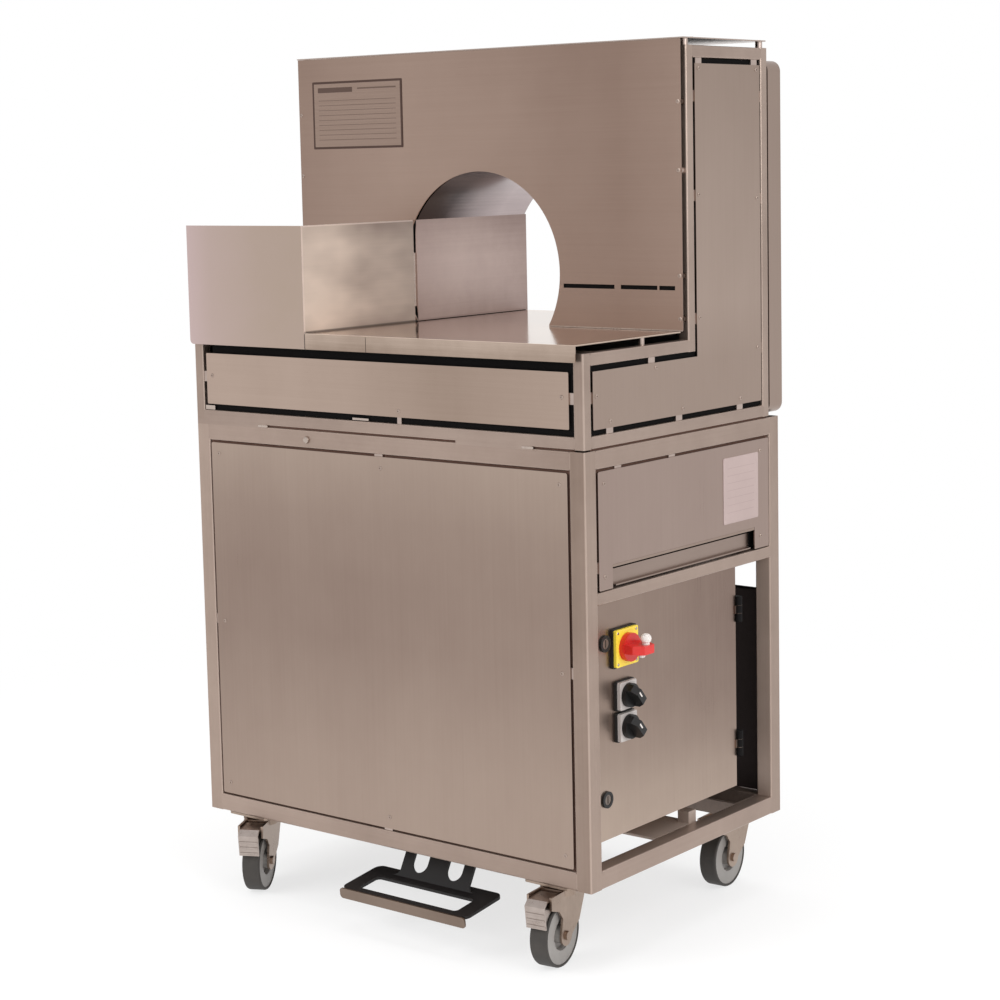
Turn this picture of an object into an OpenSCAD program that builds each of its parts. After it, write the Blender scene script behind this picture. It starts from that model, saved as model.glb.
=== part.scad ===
// Arch banding machine on a wheeled stainless frame: a lower cabinet on four swivel casters carries an
// upper module with a table, a guide fence and a tower that has a round tunnel through it.
// X runs left to right, Y front to rear, Z up. The origin is on the floor, at the centre of the footprint box.

/* [Lower frame] */
// Width of both frames, outside to outside
frame_w = 850; // [760:1:1000]
// Depth of the lower frame
frame_d = 564; // [520:1:640]
// Height of the lower frame without casters
lower_h = 700; // [640:1:760]
// Square tube of the lower frame
lower_tube = 30; // [25:1:35]
// Wall of every tube
tube_wall = 2; // [1.5:0.1:3]
// Outer corner radius of every tube
tube_r = 2.5; // [1.5:0.1:3]
// Underside of the rail between the service panel and the electrical enclosure
mid_rail_z = 456; // [430:1:480]
// Height of that rail
mid_rail_h = 20; // [15:1:25]

/* [Upper frame] */
// Distance of the rear of the upper frame from the rear of the lower frame
upper_back = 30; // [20:1:50]
// Square tube of the upper frame
upper_tube = 20; // [18:1:25]
// Gap between the lower and the upper frame, held by pads
seam = 3; // [2:0.5:6]
// Height of the base part of the upper frame
base_h = 149; // [135:1:170]
// Height of the whole upper frame
tower_h = 623; // [580:1:680]
// Front face of the tower posts, behind the front of the frame
tower_y = 290; // [270:1:310]
// Length of a seam pad
pad_l = 155; // [100:1:180]

/* [Panels and covers] */
// Thickness of every panel, cover, table and fence sheet
sheet = 2; // [1.5:0.1:3]
// Gap round the lower panels
panel_gap = 4; // [3:0.5:6]
// Gap round the covers of the upper module
cover_gap = 9; // [6:0.5:12]
// Side gap of the covers of the upper module
cover_side_gap = 4.5; // [3:0.5:7]
// Distance of the tower covers from their frame
standoff = 8; // [6:0.5:12]
// Inset of the tower front cover from the sides of the frame
front_inset = 5; // [2:0.5:8]
// Diameter of the spacers behind the tower covers
spacer_d = 12; // [8:0.5:14]
// Width of a mounting tab
tab_w = 18; // [12:1:24]
// Overlap of a mounting tab behind its panel
tab_over = 14; // [8:1:18]
// Depth of the rear cover pan
rear_pan_d = 40; // [30:1:46]
// Corner radius of the rear cover pan
rear_pan_r = 18; // [8:1:24]
// Top edge of the lower rear panel
rear_panel_top = 394; // [350:1:410]
// Height of the notch in the service panel
notch_h = 38; // [32:1:50]
// Distance of the notch from the front of the frame
notch_y = 70; // [60:1:90]
// Length of the notch
notch_l = 415; // [380:1:430]

/* [Table and fence] */
// Clear height between the base frame and the table sheet
table_rise = 12; // [8:0.5:16]
// Height of the folded front lip of the table
table_lip = 27; // [20:1:32]
// Overhang of the table in front of the frame
table_over = 9.5; // [6:0.5:14]
// Distance of the guide face of the fence from the middle of the tunnel
fence_off = 150; // [140:1:160]
// Height of the fence above the table
fence_h = 180; // [150:1:190]
// Length of the fence behind the lower frame
fence_tail = 39; // [25:1:60]
// Width of the foot flange of the front fence
fence_foot = 26; // [18:1:40]

/* [Tunnel] */
// Radius of the arch in the front cover
arch_r = 172; // [165:1:178]
// Height of the centre of the arch above the table
arch_z = 91.5; // [85:0.5:96]
// Height of the slot between the front cover and the strips, above the table
slot_z = 70; // [60:1:80]
// Width of that slot
slot_w = 7; // [4:0.5:9]
// Depth of the band gap between the front cover and the tunnel
band_gap = 8; // [6:0.5:12]

/* [Band head] */
// Thickness of the plate that carries the band track
track_plate_t = 4; // [3:0.5:6]
// Radial height of the band track
track_h = 16; // [12:1:20]
// Radius of the feed rollers
roller_r = 18; // [14:0.5:20]
// Gap between the feed rollers
roller_gap = 1; // [0.6:0.1:1.5]
// Diameter of the roller shafts
roller_shaft_d = 10; // [8:0.5:12]
// Width of the sealing press
press_w = 44; // [30:1:60]
// Stroke of the sealing press
press_stroke = 8; // [4:0.5:9]
// Diameter of the feed motor
motor_d = 70; // [56:1:80]
// Length of the feed motor
motor_l = 110; // [80:1:130]

/* [Waste tray] */
// Length of the tray along the side of the machine
tray_l = 402; // [340:1:404]
// Depth of the tray into the cabinet
tray_d = 380; // [300:1:420]
// Height of the tray
tray_h = 26; // [20:1:28]
// Recess of the tray front behind the service panel
tray_recess = 8; // [4:0.5:14]

/* [Electrical enclosure] */
// Distance of the enclosure from the front of the frame
encl_y = 38; // [34:1:46]
// Width of the enclosure
encl_w = 400; // [370:1:420]
// Height of the enclosure
encl_h = 382; // [350:1:384]
// Depth of the enclosure without its door
encl_d = 206; // [150:1:240]
// Recess of the door behind the side of the frame
door_recess = 10; // [6:0.5:14]
// Depth of the folded rim of the door
door_rim = 12; // [8:0.5:16]
// Clearance between the door rim and the box
door_clear = 2; // [1.5:0.1:3]
// Diameter of the hinge pins
hinge_pin_d = 7; // [6:0.5:8]
// Diameter of the quarter-turn locks
lock_d = 27; // [20:1:28]
// Distance of the locks from the edge of the door
lock_y = 20; // [18:0.5:24]
// Height of the upper lock above the bottom of the enclosure
lock_z_upper = 318; // [300:1:330]
// Height of the lower lock above the bottom of the enclosure
lock_z_lower = 66; // [50:1:80]
// Distance of the switches from the edge of the door
switch_y = 68; // [62:1:80]
// Height of the main switch above the bottom of the enclosure
main_z = 306; // [296:1:316]
// Side of the square main switch plate
main_plate = 60; // [56:1:66]
// Heights of the two selectors above the bottom of the enclosure
selector_z = [228, 177]; // [150:1:240]
// Side of the square selector bezels
bezel = 45; // [40:1:47]

/* [Foot pedal] */
// Width of the pedal loop
pedal_w = 272; // [220:1:300]
// Length of the pedal loop
pedal_l = 100; // [90:1:115]
// Thickness of the pedal plate
pedal_t = 5; // [4:0.5:6]
// Centre of the pedal from the left side of the frame
pedal_x = 507; // [460:1:540]
// Downward slope of the pedal loop
pedal_slope = 7; // [5:0.5:12]
// Depth of the rear bar of the loop below the frame
pedal_drop = 54; // [46:1:58]
// Width of the neck of the pedal
neck_w = 150; // [130:1:170]
// Diameter of the pedal shaft
pedal_shaft_d = 16; // [12:0.5:18]
// Height of the front strip of the pedal
tread_h = 18; // [14:1:22]

/* [Casters] */
// Overall height of a caster
caster_h = 138; // [134:1:144]
// Diameter of a caster wheel
wheel_d = 106; // [98:1:108]
// Width of a caster tyre
wheel_w = 32; // [26:1:36]
// Distance of the swivel axes from the sides of the frame
caster_x = 90; // [70:1:110]
// Distance of the swivel axes from the front and the rear of the frame
caster_y = 35; // [34:1:44]
// Offset of the axle from the swivel axis
caster_trail = 18; // [14:1:22]
// Heading of each caster at rest: front left, front right, rear left, rear right
caster_heading = [27, 7, 8, 3]; // [-30:1:30]
// Diameter of the wheel axles
axle_d = 10; // [8:0.5:12]

/* [Clearances] */
// Radial running clearance of shafts, pins and axles
run_clear = 0.06; // [0.03:0.01:0.1]
// Gap between parts that pass each other
pass_gap = 0.6; // [0.4:0.1:1]

/* [Hidden] */
$fn = 64;

// Colours
steel = [0.66, 0.59, 0.55];
steel_light = [0.76, 0.70, 0.65];
dark = [0.13, 0.12, 0.12];
grey = [0.58, 0.58, 0.57];
tyre_grey = [0.30, 0.29, 0.28];
red = [0.84, 0.14, 0.11];
yellow = [0.96, 0.85, 0.25];

// Levels, measured from the underside of the lower frame
upper_d = frame_d - upper_back;
base_z = lower_h + seam;
base_top = base_z + base_h;
tower_top = base_z + tower_h;
rail_top = base_z + upper_tube;
table_z = base_top + table_rise + sheet;
top_lift = 2.5;
cover_top = tower_top + standoff + top_lift + sheet;
fence_top = table_z + fence_h;
arch_cx = frame_w / 2;
arch_cz = table_z + arch_z;
fence_x = arch_cx - fence_off;
slot_mid = table_z + slot_z;

// Depths
front_cover_y = tower_y - standoff - sheet;
table_back = front_cover_y - sheet;
liner_y = front_cover_y + sheet + band_gap;
fence_end = frame_d + fence_tail;
rear_gap = 2;
floor_slot = 6;
rear_pan_y = upper_d + rear_gap;
liner_end = fence_end - 4;
rear_face = rear_pan_y + rear_pan_d;
plate_y = tower_y + upper_tube;

// Tunnel radii
liner_r = arch_r + sheet;
liner_or = liner_r + sheet;
track_r = liner_or + 4;
clear_r = track_r + 4;
floor_half = sqrt(pow(liner_or, 2) - pow(arch_z, 2)) + 2.5;

// Heads, rollers and motor
head_l = arch_cx - 118;
head_r = arch_cx + 82;
head_y = plate_y - 62;
head_top = base_top - 4;
head_h = 110;
head_wall = 6;
head_z = head_top - head_h;
roller_z = head_z + 62;
feed_x = head_l + head_wall + roller_r + 4;
pinch_x = feed_x + 2 * roller_r + roller_gap;
press_d = 32;
press_y = (front_cover_y + liner_y + sheet) / 2;
guide_t = 5;

// Table struts, cabinet floor and the straps behind the slot
strut_y = 34 + upper_tube;
strut_x = [fence_x + 1 - upper_tube / 2, head_r + 90];
bearer_y = 220;
bearer_w = 116;
bearer_t = 4;
stand_w = 40;
stand_in = [10, 70];
pan_y = frame_d - 104;
pan_h = 24;
pad_inset = 102;

// Slots in the foot of the tower front, from the side of the frame to the web beside the arch
slot_edge = 19;
slot_web = 9;
strap_x = [50, 127];
strap_w = [4, 13];
arch_half = sqrt(pow(arch_r, 2) - pow(arch_z - slot_z, 2));
slots = [[slot_edge, strap_x[0]], [strap_x[0] + strap_w[0], strap_x[1]],
  [strap_x[1] + strap_w[1], frame_w / 2 - arch_half - slot_web]];

// Places of the tabs and spacers
tab_t = 3;
tab_edge = 90;
service_pitch = 150;
base_tab = 22;
mid_tab = 50;
front_tab = 48;
tab_rise = 10;
tab_pitch = 200;
side_tab_y = [tab_edge - 20, tower_y - 28, upper_d - tab_edge];
low_tab_y = tower_y - 104;
side_front_z = [table_z + tab_rise, table_z + tab_rise + tab_pitch, tower_top - tab_edge];
side_rear_z = [rail_top + tab_edge, table_z + tab_pitch, tower_top - tab_edge];
front_post_z = [table_z + 2 * tab_rise, slot_mid + 2 * tab_rise, tower_top - tab_pitch, tower_top - tab_edge];
rear_post_z = [base_z + mid_tab, table_z + tab_pitch, tower_top - tab_edge];
table_post_x = [tab_edge, fence_x - 5, arch_cx + tab_rise, frame_w - 2 * tab_edge];

// Tray
tray_x = frame_w - sheet - tray_recess;
tray_y = notch_y + 8;
tray_z = mid_rail_z + mid_rail_h + 4;
runner_t = 3;

// Enclosure
door_x = frame_w - door_recess;
box_x = door_x - sheet - 2;
encl_z = mid_rail_z - 2 - encl_h;
foot_w = 22;
foot_x = frame_w - lower_tube - foot_w - 1;
lock_wall = 5;
strike_w = lock_y - door_clear - 2 * sheet - lock_d / 2 + lock_wall - 0.5;
hinge_x = door_x + 2;
hinge_y = encl_y + encl_w + 7;
hinge_r = hinge_pin_d / 2 + 2.5;
hinge_l = 44;
hinge_leaf = hinge_l / 2;
hinge_z = [encl_z + 52, encl_z + encl_h - 52 - hinge_l];
switch_cy = encl_y + switch_y;
gasket_t = 5;
collar_t = 3.5;
main_cz = encl_z + main_z;

// Pedal pivot: the neck leans back from the rear bar of the loop to the shaft
pivot_z = 15;
neck_lean = 29;
neck_l = (pedal_drop + pivot_z) / cos(neck_lean);
pivot_y = 56;
bar_y = pivot_y - neck_l * sin(neck_lean);
hub_r = pedal_shaft_d / 2 + 5;
hub_half_l = neck_w / 2 + 1;
pedal_bar = 38;
pedal_side = 30;
pedal_front_bar = 13;
bracket_t = 8;
tread_t = 3;

// Casters
axle_z = wheel_d / 2 - caster_h;
plate_t = 4;
race_t = 6;
crown_z = -plate_t - race_t - pass_gap;
crown_t = 10;
leg_t = 4;
leg_in = wheel_w / 2 + 3;
head_t = 4;
leg_front = 64;
leg_rear = 46;
leg_end = 17;
hub_half = leg_in - 0.4;
caster_pos = [[caster_x, caster_y], [frame_w - caster_x, caster_y],
  [caster_x, frame_d - caster_y], [frame_w - caster_x, frame_d - caster_y]];
plate_half_x = 46;
plate_half_y = 34;
gusset_x = caster_x + plate_half_x;
gusset_y = caster_y + plate_half_y;
gusset_t = 6;
rim_r = wheel_d / 2 - 5;
brake_gap = 1.5;
brake_t = 2.5;
brake_half = leg_in - 1;
brake_reach = 62;
brake_foot = 24;
shoe_half = wheel_w / 2 - 4;
brake_hub_r = 4.5;
brake_pin_d = 5;
brake_y = -32;
brake_z = crown_z - 7.5;
crown_front = -25;

// The footprint box runs from the fence plate to the main switch knob and from the pedal to the fence end
knob_reach = 48;
x_hi = door_x + gasket_t + knob_reach;
y_lo = bar_y - (pedal_l + tread_t - pedal_bar / 2) * cos(pedal_slope) - pedal_t / 2 * sin(pedal_slope);
mid_x = x_hi / 2;
mid_y = (y_lo + fence_end) / 2;

// Puts a piece from frame coordinates into the part's own frame
module place() {
  translate([-mid_x, -mid_y, caster_h])
    children();
}

// Rectangle with round corners, from its lower left corner
module round_rect(w, h, r) {
  translate([r, 0])
    square([w - 2 * r, h]);
  translate([0, r])
    square([w, h - 2 * r]);
  for (x = [r, w - r], y = [r, h - r])
    translate([x, y])
      circle(r = r, $fn = 24);
}

// Section of a tube
module tube_section(a, b) {
  difference() {
    round_rect(a, b, tube_r);
    translate([tube_wall, tube_wall])
      square([a - 2 * tube_wall, b - 2 * tube_wall]);
  }
}

// Tubes along X, Y and Z from their lowest corner
module tube_x(p, l, a, b) {
  translate(p)
    rotate([90, 0, 90])
      linear_extrude(l)
        tube_section(a, b);
}

module tube_y(p, l, a, b) {
  translate([p[0], p[1] + l, p[2]])
    rotate([90, 0, 0])
      linear_extrude(l)
        tube_section(a, b);
}

module tube_z(p, l, a, b) {
  translate(p)
    linear_extrude(l)
      tube_section(a, b);
}

// Post with a welded cap at its top
module capped_post(p, l, a) {
  translate(p)
    difference() {
      linear_extrude(l)
        round_rect(a, a, tube_r);
      translate([tube_wall, tube_wall, -1])
        cube([a - 2 * tube_wall, a - 2 * tube_wall, l + 1 - tube_wall]);
    }
}

// Flat profile drawn in X and Z, from its front face to the rear
module xz_sheet(y, t) {
  translate([0, y + t, 0])
    rotate([90, 0, 0])
      linear_extrude(t)
        children();
}

// Flat profile drawn in Y and Z, from its left face to the right
module yz_sheet(x, t) {
  translate([x, 0, 0])
    rotate([90, 0, 90])
      linear_extrude(t)
        children();
}

// Box between two corners
module box(a, b) {
  translate(a)
    cube(b - a);
}

// Cylinders between two levels along X and Y
module rod_x(x0, x1, y, z, d) {
  translate([x0, y, z])
    rotate([0, 90, 0])
      cylinder(d = d, h = x1 - x0);
}

module rod_y(x, y0, y1, z, d) {
  translate([x, y1, z])
    rotate([90, 0, 0])
      cylinder(d = d, h = y1 - y0);
}

// Lower frame
module lower_frame_posts() {
  t = lower_tube;
  color(steel)
    place()
      for (x = [0, frame_w - t], y = [0, frame_d - t])
        tube_z([x, y, 0], lower_h, t, t);
}

module lower_frame_rails() {
  t = lower_tube;
  span_x = frame_w - 2 * t;
  span_y = frame_d - 2 * t;
  color(steel)
    place() {
      for (z = [0, lower_h - t]) {
        for (y = [0, frame_d - t])
          tube_x([t, y, z], span_x, t, t);
        for (x = [0, frame_w - t])
          tube_y([x, t, z], span_y, t, t);
      }
      tube_y([frame_w - t, t, mid_rail_z], span_y, t, mid_rail_h);
      // The left middle rail stands back behind its panel
      tube_y([sheet + pass_gap, t, mid_rail_z], span_y, t - sheet - pass_gap, mid_rail_h);
      tube_x([t, frame_d - t, mid_rail_z], span_x, t, mid_rail_h);
      // Corner plates that take the inner caster bolts, welded to the front and rear rails
      for (x = [t + pass_gap, frame_w - gusset_x], y = [t - tube_wall / 2, frame_d - gusset_y])
        box([x, y, 0], [x + gusset_x - t - pass_gap, y + gusset_y - t + tube_wall / 2, gusset_t]);
      // Runner angles of the waste tray, carried by the middle rails
      for (y = [tray_y - pass_gap - runner_t, tray_y + tray_l + pass_gap])
        tray_runner(y);
    }
}

// Runner across the cabinet: a low upright bar with a shelf under the tray
module tray_runner(y) {
  z0 = mid_rail_z + mid_rail_h;
  inner = y < tray_y ? y : y - 12;
  box([0.5 * lower_tube, y, z0], [frame_w - 0.5 * lower_tube, y + runner_t, tray_z + 10]);
  box([0.5 * lower_tube, inner, z0], [frame_w - 0.5 * lower_tube, inner + 12 + runner_t, tray_z - 0.3]);
}

// Upper frame
module upper_frame_posts() {
  t = upper_tube;
  color(steel)
    place()
      for (x = [0, frame_w - t]) {
        capped_post([x, 0, base_z], base_h, t);
        capped_post([x, tower_y, base_top - t], tower_top - base_top + t, t);
        capped_post([x, upper_d - t, base_z], tower_h, t);
      }
}

module upper_frame_rails() {
  t = upper_tube;
  span_x = frame_w - 2 * t;
  color(steel)
    place() {
      for (y = [0, upper_d - t])
        tube_x([t, y, base_z], span_x, t, t);
      for (y = [tower_y, upper_d - t])
        tube_x([t, y, tower_top - t], span_x, t, t);
      for (x = [0, frame_w - t]) {
        tube_y([x, t, base_z], upper_d - 2 * t, t, t);
        tube_y([x, t, base_top - t], tower_y - t, t, t);
        tube_y([x, tower_y + t, tower_top - t], upper_d - tower_y - 2 * t, t, t);
      }
      // Set-back table rail and the two struts from it to the track plate
      tube_x([t, strut_y - t, base_top - t], span_x, t, t);
      for (x = strut_x)
        tube_y([x, strut_y, base_top - t], plate_y - strut_y, t, t);
      // Pads in the seam
      for (x = [lower_tube / 2, frame_w - pad_inset - pad_l], y = [0, upper_d - t])
        box([x, y, lower_h], [x + pad_l, y + t, base_z]);
    }
}

// Lower panels, set into the frame
module front_panel() {
  a = lower_tube + panel_gap;
  color(steel)
    place()
      xz_sheet(0, sheet)
        translate([a, a])
          round_rect(frame_w - 2 * a, lower_h - 2 * a, 3);
}

// Left side and upper rear of the cabinet
module cabinet_panels() {
  a = lower_tube + panel_gap;
  z0 = mid_rail_z + mid_rail_h + panel_gap;
  color(steel)
    place() {
      yz_sheet(0, sheet)
        translate([a, a])
          round_rect(frame_d - 2 * a, lower_h - 2 * a, 3);
      xz_sheet(frame_d - sheet, sheet)
        translate([a, z0])
          round_rect(frame_w - 2 * a, lower_h - a - z0, 3);
    }
}

module rear_panel() {
  a = lower_tube + panel_gap;
  color(dark)
    place()
      xz_sheet(frame_d - sheet, sheet)
        translate([a, a])
          round_rect(frame_w - 2 * a, rear_panel_top - a, 3);
}

// Flat bearer under the enclosure with its stands, and the folded rear floor pan
module base_pan() {
  t = lower_tube;
  end_y = bearer_y + bearer_w;
  color(steel)
    place() {
      box([t, bearer_y, t - bearer_t], [frame_w - t, end_y, t]);
      // Folded rear pan, open above
      difference() {
        box([t, pan_y, t - pan_h], [frame_w - t, frame_d - t, t]);
        box([t + sheet, pan_y + sheet, t - pan_h + sheet], [frame_w - t - sheet, frame_d - t - sheet, t + 1]);
      }
      for (x = stand_in)
        box([box_x - encl_d + x, bearer_y + stand_w / 2, t - bearer_t / 2],
          [box_x - encl_d + x + stand_w, end_y - stand_w / 2, encl_z]);
      // Bolted bracket on the side rail
      box([foot_x, end_y - foot_w + 6, t - bearer_t / 2], [foot_x + foot_w, end_y + 6, t + foot_w - 2]);
    }
}

module right_service_panel() {
  a = lower_tube + panel_gap;
  z0 = mid_rail_z + mid_rail_h + 2;
  color(steel)
    place()
      yz_sheet(frame_w - sheet, sheet)
        difference() {
          translate([a, z0])
            round_rect(frame_d - 2 * a, lower_h - a - z0, 3);
          translate([notch_y, z0 - 1])
            square([notch_l, notch_h + 1]);
        }
}

// Shallow tray with a finger lip along the foot of its front
module waste_tray() {
  w = sheet;
  color(steel_light)
    place() {
      difference() {
        box([tray_x - tray_d, tray_y, tray_z], [tray_x, tray_y + tray_l, tray_z + tray_h]);
        box([tray_x - tray_d + w, tray_y + w, tray_z + w],
          [tray_x - w, tray_y + tray_l - w, tray_z + tray_h + 1]);
      }
      box([tray_x, tray_y + 4, tray_z], [tray_x + tray_recess - 1, tray_y + tray_l - 4, tray_z + w]);
    }
}

// Covers of the upper module
module base_front_panel() {
  x0 = upper_tube + cover_side_gap + 4;
  z0 = rail_top + cover_gap + 2;
  z1 = table_z - table_lip - 16;
  color(steel)
    place()
      xz_sheet(0, sheet)
        translate([x0, z0])
          round_rect(frame_w - 2 * x0, z1 - z0, 2);
}

// Outline of the L-shaped side cover in Y and Z
module side_profile() {
  g = cover_side_gap;
  difference() {
    translate([upper_tube + g, rail_top + cover_gap])
      round_rect(upper_d - 2 * upper_tube - 2 * g, tower_h - 2 * upper_tube - 2 * cover_gap, 2);
    translate([0, base_top - upper_tube - cover_gap])
      square([plate_y + g, tower_h]);
  }
}

module right_side_cover() {
  color(steel)
    place()
      yz_sheet(frame_w - sheet, sheet)
        side_profile();
}

module left_side_cover() {
  color(steel)
    place()
      yz_sheet(0, sheet)
        side_profile();
}

// Tower front: one sheet with the arch, and a row of slots above each foot
module arch_disc(r) {
  translate([arch_cx, arch_cz])
    circle(r = r, $fn = 180);
}

module tower_front_cover() {
  z0 = table_z + sheet;
  color(steel)
    place()
      xz_sheet(front_cover_y, sheet)
        difference() {
          translate([front_inset, z0])
            square([frame_w - 2 * front_inset, cover_top - top_lift - z0]);
          arch_disc(arch_r);
          for (k = slots) {
            translate([k[0], slot_mid - slot_w / 2])
              square([k[1] - k[0], slot_w]);
            translate([frame_w - k[1], slot_mid - slot_w / 2])
              square([k[1] - k[0], slot_w]);
          }
        }
}

// Rear pan with the exit of the tunnel, fixed by inward flanges
module rear_cover() {
  w = frame_w;
  z0 = base_z + 3;
  h = tower_top - upper_tube - z0;
  s = sheet;
  color(steel)
    place()
      difference() {
        xz_sheet(rear_pan_y, rear_pan_d)
          translate([0, z0])
            round_rect(w, h, rear_pan_r);
        xz_sheet(rear_pan_y + s, rear_pan_d - 2 * s)
          translate([s, z0 + s])
            round_rect(w - 2 * s, h - 2 * s, rear_pan_r - s);
        xz_sheet(rear_pan_y - 1, s + 2)
          translate([upper_tube + 4, z0 + upper_tube])
            square([w - 2 * upper_tube - 8, h - 2 * upper_tube]);
        xz_sheet(rear_face - s - 1, s + 2)
          exit_profile();
      }
}

// Opening round the tunnel, flat at the floor
module exit_profile() {
  intersection() {
    arch_disc(clear_r);
    translate([0, table_z - sheet])
      square([frame_w, tower_h]);
  }
}

module top_cover() {
  color(steel)
    place()
      box([0, front_cover_y + sheet + 1, cover_top - sheet], [frame_w, upper_d - 4, cover_top]);
}

// Welded tabs behind the panels and spacers behind the covers
module cover_mounts() {
  t = lower_tube;
  u = upper_tube;
  h = tab_w / 2;
  k = tab_t;
  over = panel_gap + tab_over;
  mid_z = rail_top + mid_tab;
  color(steel_light)
    place() {
      // Lower front panel
      for (z = [t, lower_h - t - over])
        box([frame_w / 2 - h, sheet, z], [frame_w / 2 + h, sheet + k, z + over]);
      for (x = [t, frame_w - t - over])
        box([x, sheet, lower_h / 2 - h], [x + over, sheet + k, lower_h / 2 + h]);
      // Lower left panel
      for (y = [tab_edge, frame_d - tab_edge], z = [t, lower_h - t - over])
        box([sheet, y - h, z], [sheet + k, y + h, z + over]);
      // Lower rear panel
      for (x = [tab_edge, frame_w / 2, frame_w - tab_edge])
        box([x - h, frame_d - sheet - k, t], [x + h, frame_d - sheet, t + over]);
      for (x = [t, frame_w - t - over])
        box([x, frame_d - sheet - k, rear_panel_top - tab_edge],
          [x + over, frame_d - sheet, rear_panel_top - tab_edge + tab_w]);
      // Upper rear panel
      for (x = [tab_edge, frame_w / 2, frame_w - tab_edge], z = [mid_rail_z + mid_rail_h, lower_h - t - over])
        box([x - h, frame_d - sheet - k, z], [x + h, frame_d - sheet, z + over]);
      // Service panel
      for (y = [tab_edge, tab_edge + service_pitch])
        box([frame_w - sheet - k, y - h, lower_h - t - over], [frame_w - sheet, y + h, lower_h - t]);
      for (y = [t, frame_d - t - over])
        box([frame_w - sheet - k, y, tray_z + tray_h], [frame_w - sheet, y + over, tray_z + tray_h + tab_w]);
      // Base front panel
      box([arch_cx + front_tab - h / 2, sheet, rail_top],
        [arch_cx + front_tab + h / 2, sheet + k, rail_top + cover_gap + 2 + tab_over]);
      for (x = [u, frame_w - u - base_tab])
        box([x, sheet, mid_z], [x + base_tab, sheet + k, mid_z + tab_w]);
      // Side covers
      for (x = [sheet, frame_w - sheet - k])
        side_tabs(x);
      // Tower front cover, on the posts and the top rail
      for (x = [u / 2, frame_w - u / 2], z = front_post_z)
        rod_y(x, front_cover_y + sheet, tower_y, z, spacer_d);
      for (x = [frame_w / 4, frame_w / 2, frame_w * 3 / 4])
        rod_y(x, front_cover_y + sheet, tower_y, tower_top - u / 2, spacer_d);
      // Rear cover
      for (x = [u / 2 + 2, frame_w - u / 2 - 2], z = rear_post_z)
        rod_y(x, upper_d, rear_pan_y, z, spacer_d);
      // Top cover
      for (x = [u / 2, frame_w - u / 2], y = [tower_y + u / 2, upper_d - u / 2])
        translate([x, y, tower_top])
          cylinder(d = spacer_d, h = cover_top - sheet - tower_top);
      // Table
      for (x = [u / 2, frame_w - u / 2 - 3])
        translate([x, tower_y * 0.6, base_top])
          cylinder(d = spacer_d - 2, h = table_rise);
      for (x = table_post_x)
        translate([x, strut_y - u / 2, base_top])
          cylinder(d = spacer_d - 4, h = table_rise);
      for (x = [strut_x[0] + u / 4, strut_x[1] + u / 2])
        translate([x, table_back - spacer_d * 2.5, base_top])
          cylinder(d = spacer_d - 4, h = table_rise);
    }
}

module side_tabs(x) {
  u = upper_tube;
  h = tab_w / 2;
  k = tab_t;
  over = cover_gap + tab_over;
  side = cover_side_gap + tab_over;
  mid_z = rail_top + mid_tab;
  for (y = side_tab_y)
    box([x, y - h, rail_top], [x + k, y + h, rail_top + over]);
  box([x, low_tab_y - h, base_top - u - over], [x + k, low_tab_y + h, base_top - u]);
  for (y = [plate_y + side, upper_d - u - side])
    box([x, y - h, tower_top - u - over], [x + k, y + h, tower_top - u]);
  box([x, u, mid_z], [x + k, u + side, mid_z + tab_w]);
  for (z = side_front_z)
    box([x, plate_y, z], [x + k, plate_y + side, z + tab_w]);
  for (z = side_rear_z)
    box([x, upper_d - u - side, z], [x + k, upper_d - u, z + tab_w]);
}

// Tunnel: a rolled liner that stands on the floor at the right and on the fence at the left
module tunnel_liner() {
  color(steel_light)
    place()
      xz_sheet(liner_y, liner_end - liner_y)
        difference() {
          arch_disc(liner_or);
          arch_disc(liner_r);
          translate([0, table_z - tower_h])
            square([frame_w, tower_h]);
          translate([0, fence_top - tower_h])
            square([arch_cx, tower_h]);
        }
}

module infeed_table() {
  x0 = fence_x + 2;
  x1 = frame_w - 8;
  color(steel_light)
    place() {
      box([x0, -table_over, table_z - sheet], [x1, table_back, table_z]);
      // Front lip, split at the middle of the tunnel
      box([x0, -table_over, table_z - table_lip], [arch_cx - 12, sheet - table_over, table_z - sheet]);
      box([arch_cx - 11, -table_over, table_z - table_lip], [x1, sheet - table_over, table_z - sheet]);
    }
}

module side_table() {
  color(steel)
    place()
      box([2, sheet - table_over + pass_gap, table_z - sheet], [fence_x + 1, table_back, table_z]);
}

module tunnel_floor() {
  color(steel_light)
    place() {
      box([arch_cx - floor_half, table_back + floor_slot, table_z - sheet], [arch_cx + floor_half, liner_end, table_z]);
      // Leg on the rear rail
      box([arch_cx - 50, upper_d - upper_tube + 4, rail_top], [arch_cx + 50, upper_d - upper_tube + 8, table_z - sheet]);
    }
}

// Fence: an L in plan in front of the tower, a straight sheet through the tunnel
module front_fence() {
  r = 8;
  color(steel)
    place() {
      xz_sheet(-table_over, sheet)
        difference() {
          translate([0, table_z - table_lip])
            square([fence_x, fence_top - table_z + table_lip]);
          translate([0, table_z - table_lip])
            difference() {
              square(r);
              translate([r, r])
                circle(r = r);
            }
        }
      box([fence_x - sheet, -table_over, table_z + sheet / 2], [fence_x, table_back, fence_top]);
      box([fence_x - fence_foot, sheet - table_over + 2, table_z], [fence_x, table_back, table_z + sheet]);
    }
}

module rear_fence() {
  color(steel)
    place()
      box([fence_x - sheet, liner_y - band_gap / 2, table_z], [fence_x, fence_end, fence_top]);
}

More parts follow.
